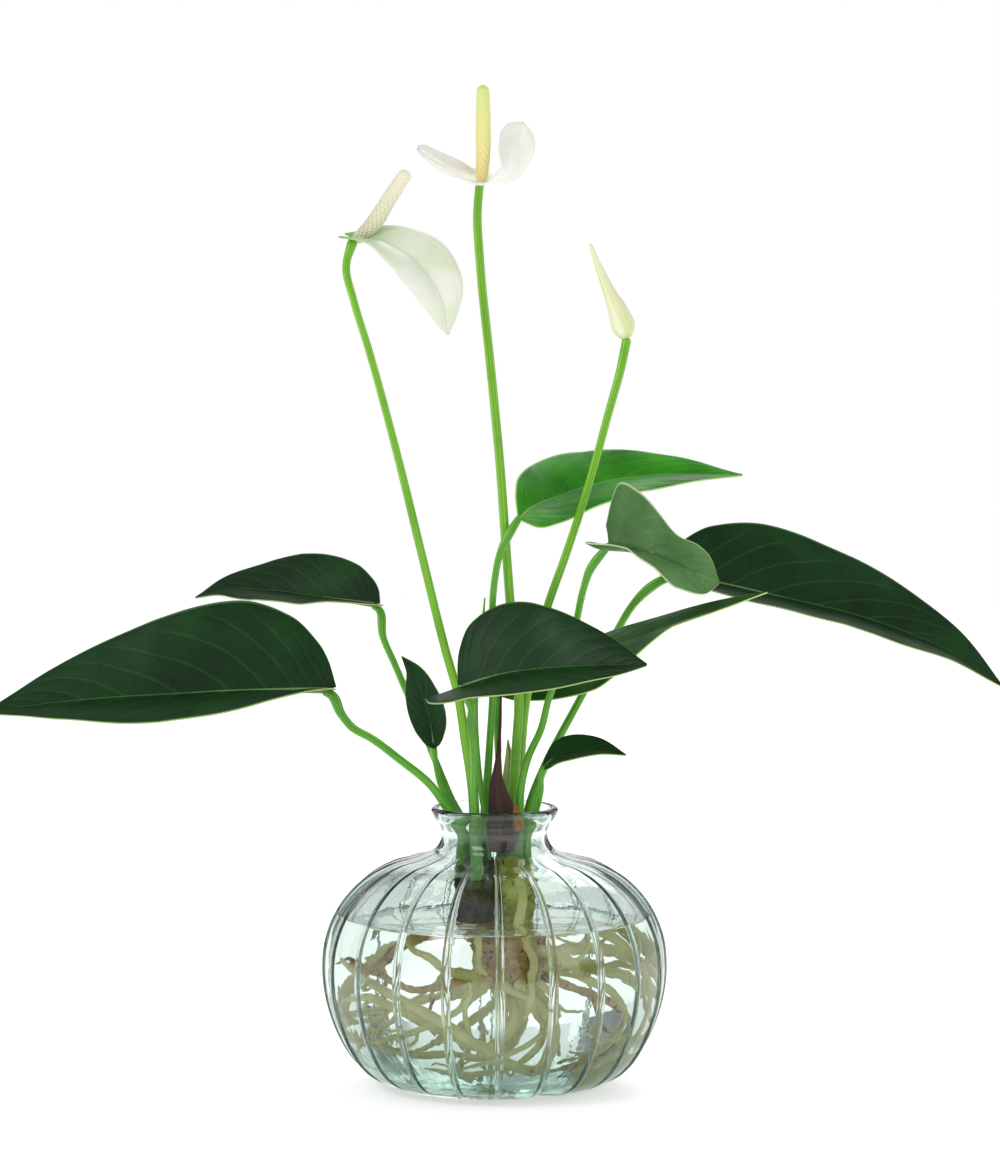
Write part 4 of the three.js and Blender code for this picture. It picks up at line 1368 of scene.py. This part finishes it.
# %% Spathes
SPATHES = [
    dict(
        finish=old_spathe,
        midrib=[
            (-58, -12, 347.3), (-44, -15, 346), (-31, -19, 338.5), (-22, -21, 326), (-19, -18, 309.5),
        ],
        width=15,
        shape=[(0, 0.35), (0.15, 0.7), (0.4, 1), (0.7, 0.8), (0.9, 0.35), (1, 0.03)],
        lobes=(4, 4),
        near=[(0, -0.95, 0.2), (-0.4, -0.75, -0.4), (-0.8, -0.5, -0.4)],
        far=[(0, 0.85, 0.5), (0.6, 0.5, 0.5), (0.8, 0.5, 0.3)],
    ),
    dict(
        finish=new_spathe,
        midrib=[
            (11.5, 11, 395), (8, 7, 382.5), (3, 3.5, 373.5), (-6, 1, 371), (-14, -4, 373.5),
            (-23, -9, 378.6), (-31, -14, 384),
        ],
        width=11,
        shape=[
            (0, 0.04), (0.025, 0.42), (0.08, 0.8), (0.2, 1), (0.5, 0.95), (0.75, 0.8), (0.92, 0.6),
            (0.98, 0.35), (1, 0.03),
        ],
        near=[(-0.8, -0.4, 0.2), (0, -0.95, 0.15), (0, -0.9, -0.4)],
        far=[(0.75, 0.6, 0), (0.1, 0.85, 0.5), (0.1, 0.8, 0.6)],
    ),
]
for i, spathe in enumerate(SPATHES, start=1):
    finish = spathe.pop("finish")
    blade = Blade(**spathe)
    plain = leaf_lift(blade, 40 + i, 0.09, 0.8, veins=2)
    bm = lay_blade(blade, 64, 36, plain)
    piece = make_piece(f"spathe_{i}", bm, [finish], f"spathe_{i}", "white_spathe")
    thicken(piece, 0.75, under=0, rim=0)
print("spathes:", len(SPATHES))

# %% [markdown]
# The spikes are covered in tiny flowers set in two crossing sets of spirals, eight one way and
# thirteen the other, as on a pine cone. Two waves wound round the rod make them, and painted
# shade in the hollows between them follows the same two waves.

# %% Spikes
LEFT_SPIRALS, RIGHT_SPIRALS = 8, 13


def spiral_bumps(length, height):
    """Small flowers in crossing spirals, for a spike of that length."""

    def relief(turn, t):
        z = t * length
        first = math.cos(LEFT_SPIRALS * turn + math.tau * z / 3.0)
        second = math.cos(RIGHT_SPIRALS * turn - math.tau * z / 2.1)
        return height * (1 - 0.55 * t) * (first + second) / 2

    return relief


def spike_finish(name, low, high, gap, dot):
    """Colour runs from low to high up the spike, with painted shade between the flowers."""
    material, tree, shader = new_material(name, Roughness=0.5)
    along = uv_parts(tree)["Y"]
    up = blend_colours(tree, between(tree, along, 0.2, 0.95), low, high)
    height = add_node(tree, "ShaderNodeAttribute", {"attribute_name": "height"}).outputs["Fac"]
    # painted shade: the gap colour is laid into the hollows between the flowers
    painted_shade_hollows = fading(tree, height, -0.20, -0.07)
    painted_shade_hollows = maths(tree, "MULTIPLY", painted_shade_hollows, fading(tree, along, 0.7, 0.95))
    up = blend_colours(tree, maths(tree, "MULTIPLY", painted_shade_hollows, dot), up, gap)
    tree.links.new(up, shader.inputs["Base Color"])
    return material


# Ripe spadix: fleshy yellow flowers, fresher and greener towards the tip, with olive painted shade between
# them.
yellow_spike = spike_finish("yellow_spadix", "#f6e9a0", "#d3e486", "#b3a23f", 0.6)
# Ageing spadix: cream flowers, with purple-grey painted shade in the gaps between them.
cream_spike = spike_finish("cream_spadix", "#dfdcb8", "#efe8d4", "#75636a", 0.95)
BUMP_HEIGHT = 0.22
SPIKES = [
    dict(
        via=[(-57, -11.5, 346.8), (-50, -11, 353), (-42, -12, 365), (-35, -13, 375.5)],
        radii=[(0, 2.0), (0.28, 3.3), (0.6, 3.1), (0.9, 2.8), (1, 2.5)],
        finish=cream_spike,
        slot="cream_spadix",
    ),
    dict(
        via=[(-5.6, 1.6, 370.5), (-5, 2, 376), (-4.6, 2.4, 392), (-4.8, 3, 410.3)],
        radii=[(0, 1.8), (0.14, 2.5), (0.5, 3), (0.9, 2.6), (1, 2.2)],
        finish=yellow_spike,
        slot="yellow_spadix",
    ),
]
for i, spike in enumerate(SPIKES, start=1):
    route = Route(spike["via"])
    bm = rod(route, spike["radii"], 96, 140, spiral_bumps(route.length, BUMP_HEIGHT))
    make_piece(f"spadix_{i}", bm, [spike["finish"]], f"spadix_{i}", spike["slot"])
print("spikes done, triangles so far:", triangle_count)

# %% [markdown]
# The bud is a spathe still rolled round its spike. It swells at its foot and ends in a curled
# point. One edge of the roll shows as a spiral seam, which is a step in the relief.

# %% Bud
# Rolled bud: spathe tissue that hasn't seen light yet, cream and silky, green where it starts.
bud_finish, tree, shader = new_material("rolled_bud", Roughness=0.4)
fibres = cloud(tree, stretch=(9, 1.2, 1), detail=3, source="UV")
pale = ramp(tree, fibres, (0.35, "#d3db8a"), (0.6, "#eff0d2"))
greened = fading(tree, uv_parts(tree)["Y"], 0.0, 0.22)
coloured = blend_colours(tree, maths(tree, "MULTIPLY", greened, 0.85), pale, "#a9c957")
tree.links.new(coloured, shader.inputs["Base Color"])
raise_surface(tree, shader, fibres, 0.02)


def roll_seam(turn, t):
    """A step that winds once round the bud, where the edge of the roll lies on top."""
    winding = (turn / math.tau + 0.35 + 0.6 * t) % 1
    return 0.45 * (winding - 0.5) * (1 - t)


route = Route([(54.3, 14, 306.6), (51, 14, 317), (46, 13, 328), (42, 12, 338), (39, 11, 346)])
radii = [(0, 2.6), (0.12, 4.9), (0.3, 4), (0.5, 2.6), (0.75, 1.5), (1, 0.6)]
bm = rod(route, radii, 64, 90, roll_seam)
make_piece("spathe_bud", bm, [bud_finish], "spathe_bud", "bud")
print("bud length:", round(route.length, 1), "mm")

# %% [markdown]
# ## Sheaths
# Each new leaf breaks out of a papery sheath, which dries and stays at the foot of the stalks. One
# brown sheath still stands, with a scrap of another, a pale one behind, and a rolled leaf spear.

# %% Sheath materials
def papery(name, deep, body, light):
    """Dry sheath tissue with long fibres."""
    material, tree, shader = new_material(name, Roughness=0.7)
    fibres = cloud(tree, stretch=(2.0, 14, 1), detail=4, source="UV")
    tissue = ramp(tree, fibres, (0.3, deep), (0.5, body), (0.72, light))
    patches = between(tree, cloud(tree, 8, detail=4), 0.45, 0.7)
    coloured = blend_colours(tree, maths(tree, "MULTIPLY", patches, 0.5), tissue, deep)
    tree.links.new(coloured, shader.inputs["Base Color"])
    raise_surface(tree, shader, fibres, 0.25)
    return material


# Dry sheath: dead, papery tissue with long fibres, dark red-brown and dull.
brown_paper = papery("dry_brown_sheath", "#170906", "#35160e", "#693a22")
# A thinner scrap of the same, which lets light through and looks orange.
orange_paper = papery("dry_orange_sheath", "#6a3418", "#a8602f", "#cf8a50")
# A sheath that is only now drying: straw with green left in it.
pale_paper = papery("pale_sheath", "#7f8a40", "#b7bd74", "#d8daa4")
print("sheath finishes:", brown_paper.name, orange_paper.name, pale_paper.name)

# %% [markdown]
# The sheaths are blades too, with both halves leaning back so that each hugs the stalks. The spear
# is a leaf that is still rolled, so it is a thin rod.

# %% Sheaths and leaf spear
def crinkled(phase):
    """Shallow creases of dry tissue."""

    def lift(t, s):
        return 0.5 * noise.noise(Vector((t * 6, s * 2.5, phase)))

    return lift


SHEATHS = [
    dict(
        name="cataphyll_brown",
        finish=brown_paper,
        slot="brown_sheath",
        midrib=[(3, -12.5, 96), (3, -13.5, 113), (1, -13, 126), (2, -12, 143), (2.5, -11, 162)],
        width=7.5,
        shape=[(0, 0.85), (0.22, 1), (0.4, 0.62), (0.55, 0.26), (0.75, 0.12), (1, 0.06)],
        near=[(-0.8, 0.6, 0), (-0.8, 0.6, 0)],
        far=[(0.8, 0.6, 0), (0.8, 0.6, 0)],
    ),
    dict(
        name="cataphyll_scrap",
        finish=orange_paper,
        slot="brown_sheath",
        midrib=[(9.5, -14, 108), (9, -14.5, 113), (8.5, -14.5, 118)],
        width=1.8,
        shape=[(0, 0.8), (0.5, 1), (1, 0.2)],
        near=[(-0.9, -0.2, 0), (-0.9, -0.2, 0)],
        far=[(0.9, 0.3, 0), (0.9, 0.3, 0)],
    ),
    dict(
        name="sheath_pale",
        finish=pale_paper,
        slot="pale_sheath",
        midrib=[(4, 15.5, 97), (5, 16.5, 114), (6, 18, 131), (5.5, 18.5, 141)],
        width=4,
        shape=[(0, 0.8), (0.4, 1), (0.8, 0.5), (1, 0.05)],
        near=[(-0.85, -0.5, 0), (-0.85, -0.5, 0)],
        far=[(0.85, -0.5, 0), (0.85, -0.5, 0)],
    ),
]
for sheath in SHEATHS:
    name, finish, slot_name = sheath.pop("name"), sheath.pop("finish"), sheath.pop("slot")
    blade = Blade(**sheath)
    bm = lay_blade(blade, 48, 20, crinkled(len(name)))
    thicken(make_piece(name, bm, [finish], name, slot_name), 0.4, under=0, rim=0)
spear = Route([
    (-2.5, -4.5, 86), (-3, -4.5, 106), (-6, -5, 125), (-7.5, -5.5, 142), (-8, -6.5, 158),
    (-6, -7, 180), (-4, -8, 202),
])
radii = [(0, 1.2), (0.4, 1.3), (0.8, 1), (1, 0.3)]
bm = rod(spear, radii, 16, 80, fluted(0.1, 5))
make_piece("leaf_spear", bm, [petiole_green], "leaf_spear", "pale_sheath")
print("triangles of the whole plant:", triangle_count)

# %% [markdown]
# ## Surroundings
# The plant stands on a pale table top. It glows a little, so that its far edge melts into the white
# room, and it lies a hair below the foot, so that the two surfaces don't fight.

# %% Table top
# White satin paint: even and dull.
bm = bmesh.new()
bmesh.ops.create_circle(bm, cap_ends=True, segments=96, radius=2.5)
mesh = bpy.data.meshes.new("table_top")
bm.to_mesh(mesh)
bm.free()
table_paint, tree, shader = new_material("table_paint", Base_Color=rgb("#fafaf8"), Roughness=0.6)
shader.inputs["Emission Color"].default_value = rgb("#ffffff")
shader.inputs["Emission Strength"].default_value = 0.5
mesh.materials.append(table_paint)
table = bpy.data.objects.new("table_top", mesh)
table.location.z = -0.0003
scene.collection.objects.link(table)
table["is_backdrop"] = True
print("table top staged")

# %% [markdown]
# Glass shows what is around it rather than itself, so the room has upright dark strips between
# bright walls: their bent pictures draw the edge of every rib. The strips repeat every eighth of a
# turn, so the glass reads alike from any side. The camera itself sees plain white.

# %% Room
STRIPS = 8
world = bpy.data.worlds.new("studio")
scene.world = world
world.use_nodes = True
tree = world.node_tree
tree.nodes.clear()
way = add_node(tree, "ShaderNodeTexCoord").outputs["Generated"]
parts = add_node(tree, "ShaderNodeSeparateXYZ", Vector=way)
bearing = maths(tree, "ARCTAN2", parts.outputs["X"], parts.outputs["Y"])
eighths = maths(tree, "MULTIPLY", bearing, STRIPS / math.tau)
strip = maths(tree, "MULTIPLY", maths(tree, "PINGPONG", eighths, 0.5), 2.0)
dark = between(tree, strip, 0.62, 0.80)
dark = maths(tree, "MULTIPLY", dark, fading(tree, parts.outputs["Z"], 0.55, 0.85))
walls = maths(tree, "MULTIPLY_ADD", dark, -0.85, 1.0)
overhead = between(tree, parts.outputs["Z"], 0.45, 0.9)
room = maths(tree, "MULTIPLY", walls, maths(tree, "MULTIPLY_ADD", overhead, -0.45, 0.9))
seen = add_node(tree, "ShaderNodeLightPath").outputs["Is Camera Ray"]
strength = add_node(tree, "ShaderNodeMix", {"data_type": "FLOAT"}, _0=seen, _2=room, _3=1.0)
background = add_node(tree, "ShaderNodeBackground", Color=rgb("#ffffff"))
tree.links.new(strength.outputs[0], background.inputs["Strength"])
add_node(tree, "ShaderNodeOutputWorld", Surface=background.outputs[0])
print("dark strips in the room:", STRIPS)

# %% [markdown]
# Three large lamps give soft light: a key from the front left, a weak fill from the right, and one
# from behind that lights the rims of the leaves. Light needs many bounces to cross glass and water.

# %% Lamps
def soft_lamp(name, place, size, watts):
    """A square area lamp that faces the middle of the plant."""
    lamp = bpy.data.lights.new(name, "AREA")
    lamp.size = size
    lamp.energy = watts
    made = bpy.data.objects.new(name, lamp)
    made.location = place
    aim = Vector((0, 0, 0.2)) - made.location
    made.rotation_euler = aim.to_track_quat("-Z", "Y").to_euler()
    scene.collection.objects.link(made)


soft_lamp("key", Vector((-1.1, -1.3, 1.5)), 0.8, 11)
soft_lamp("fill", Vector((1.5, -0.9, 0.9)), 1.0, 3)
soft_lamp("back", Vector((0.5, 1.5, 1.4)), 1.0, 7)
scene.view_settings.view_transform = "Standard"
scene.cycles.transmission_bounces = 16
scene.cycles.max_bounces = 16
print("lamps:", len(bpy.data.lights))

# %% Size beside the frame, and finish
size = {"frame": cad_box, "visual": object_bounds()}
{key: [list(corner) for corner in box] for key, box in size.items()}
print("size in mm:", [[round(v / MM, 1) for v in corner] for corner in size["visual"]])
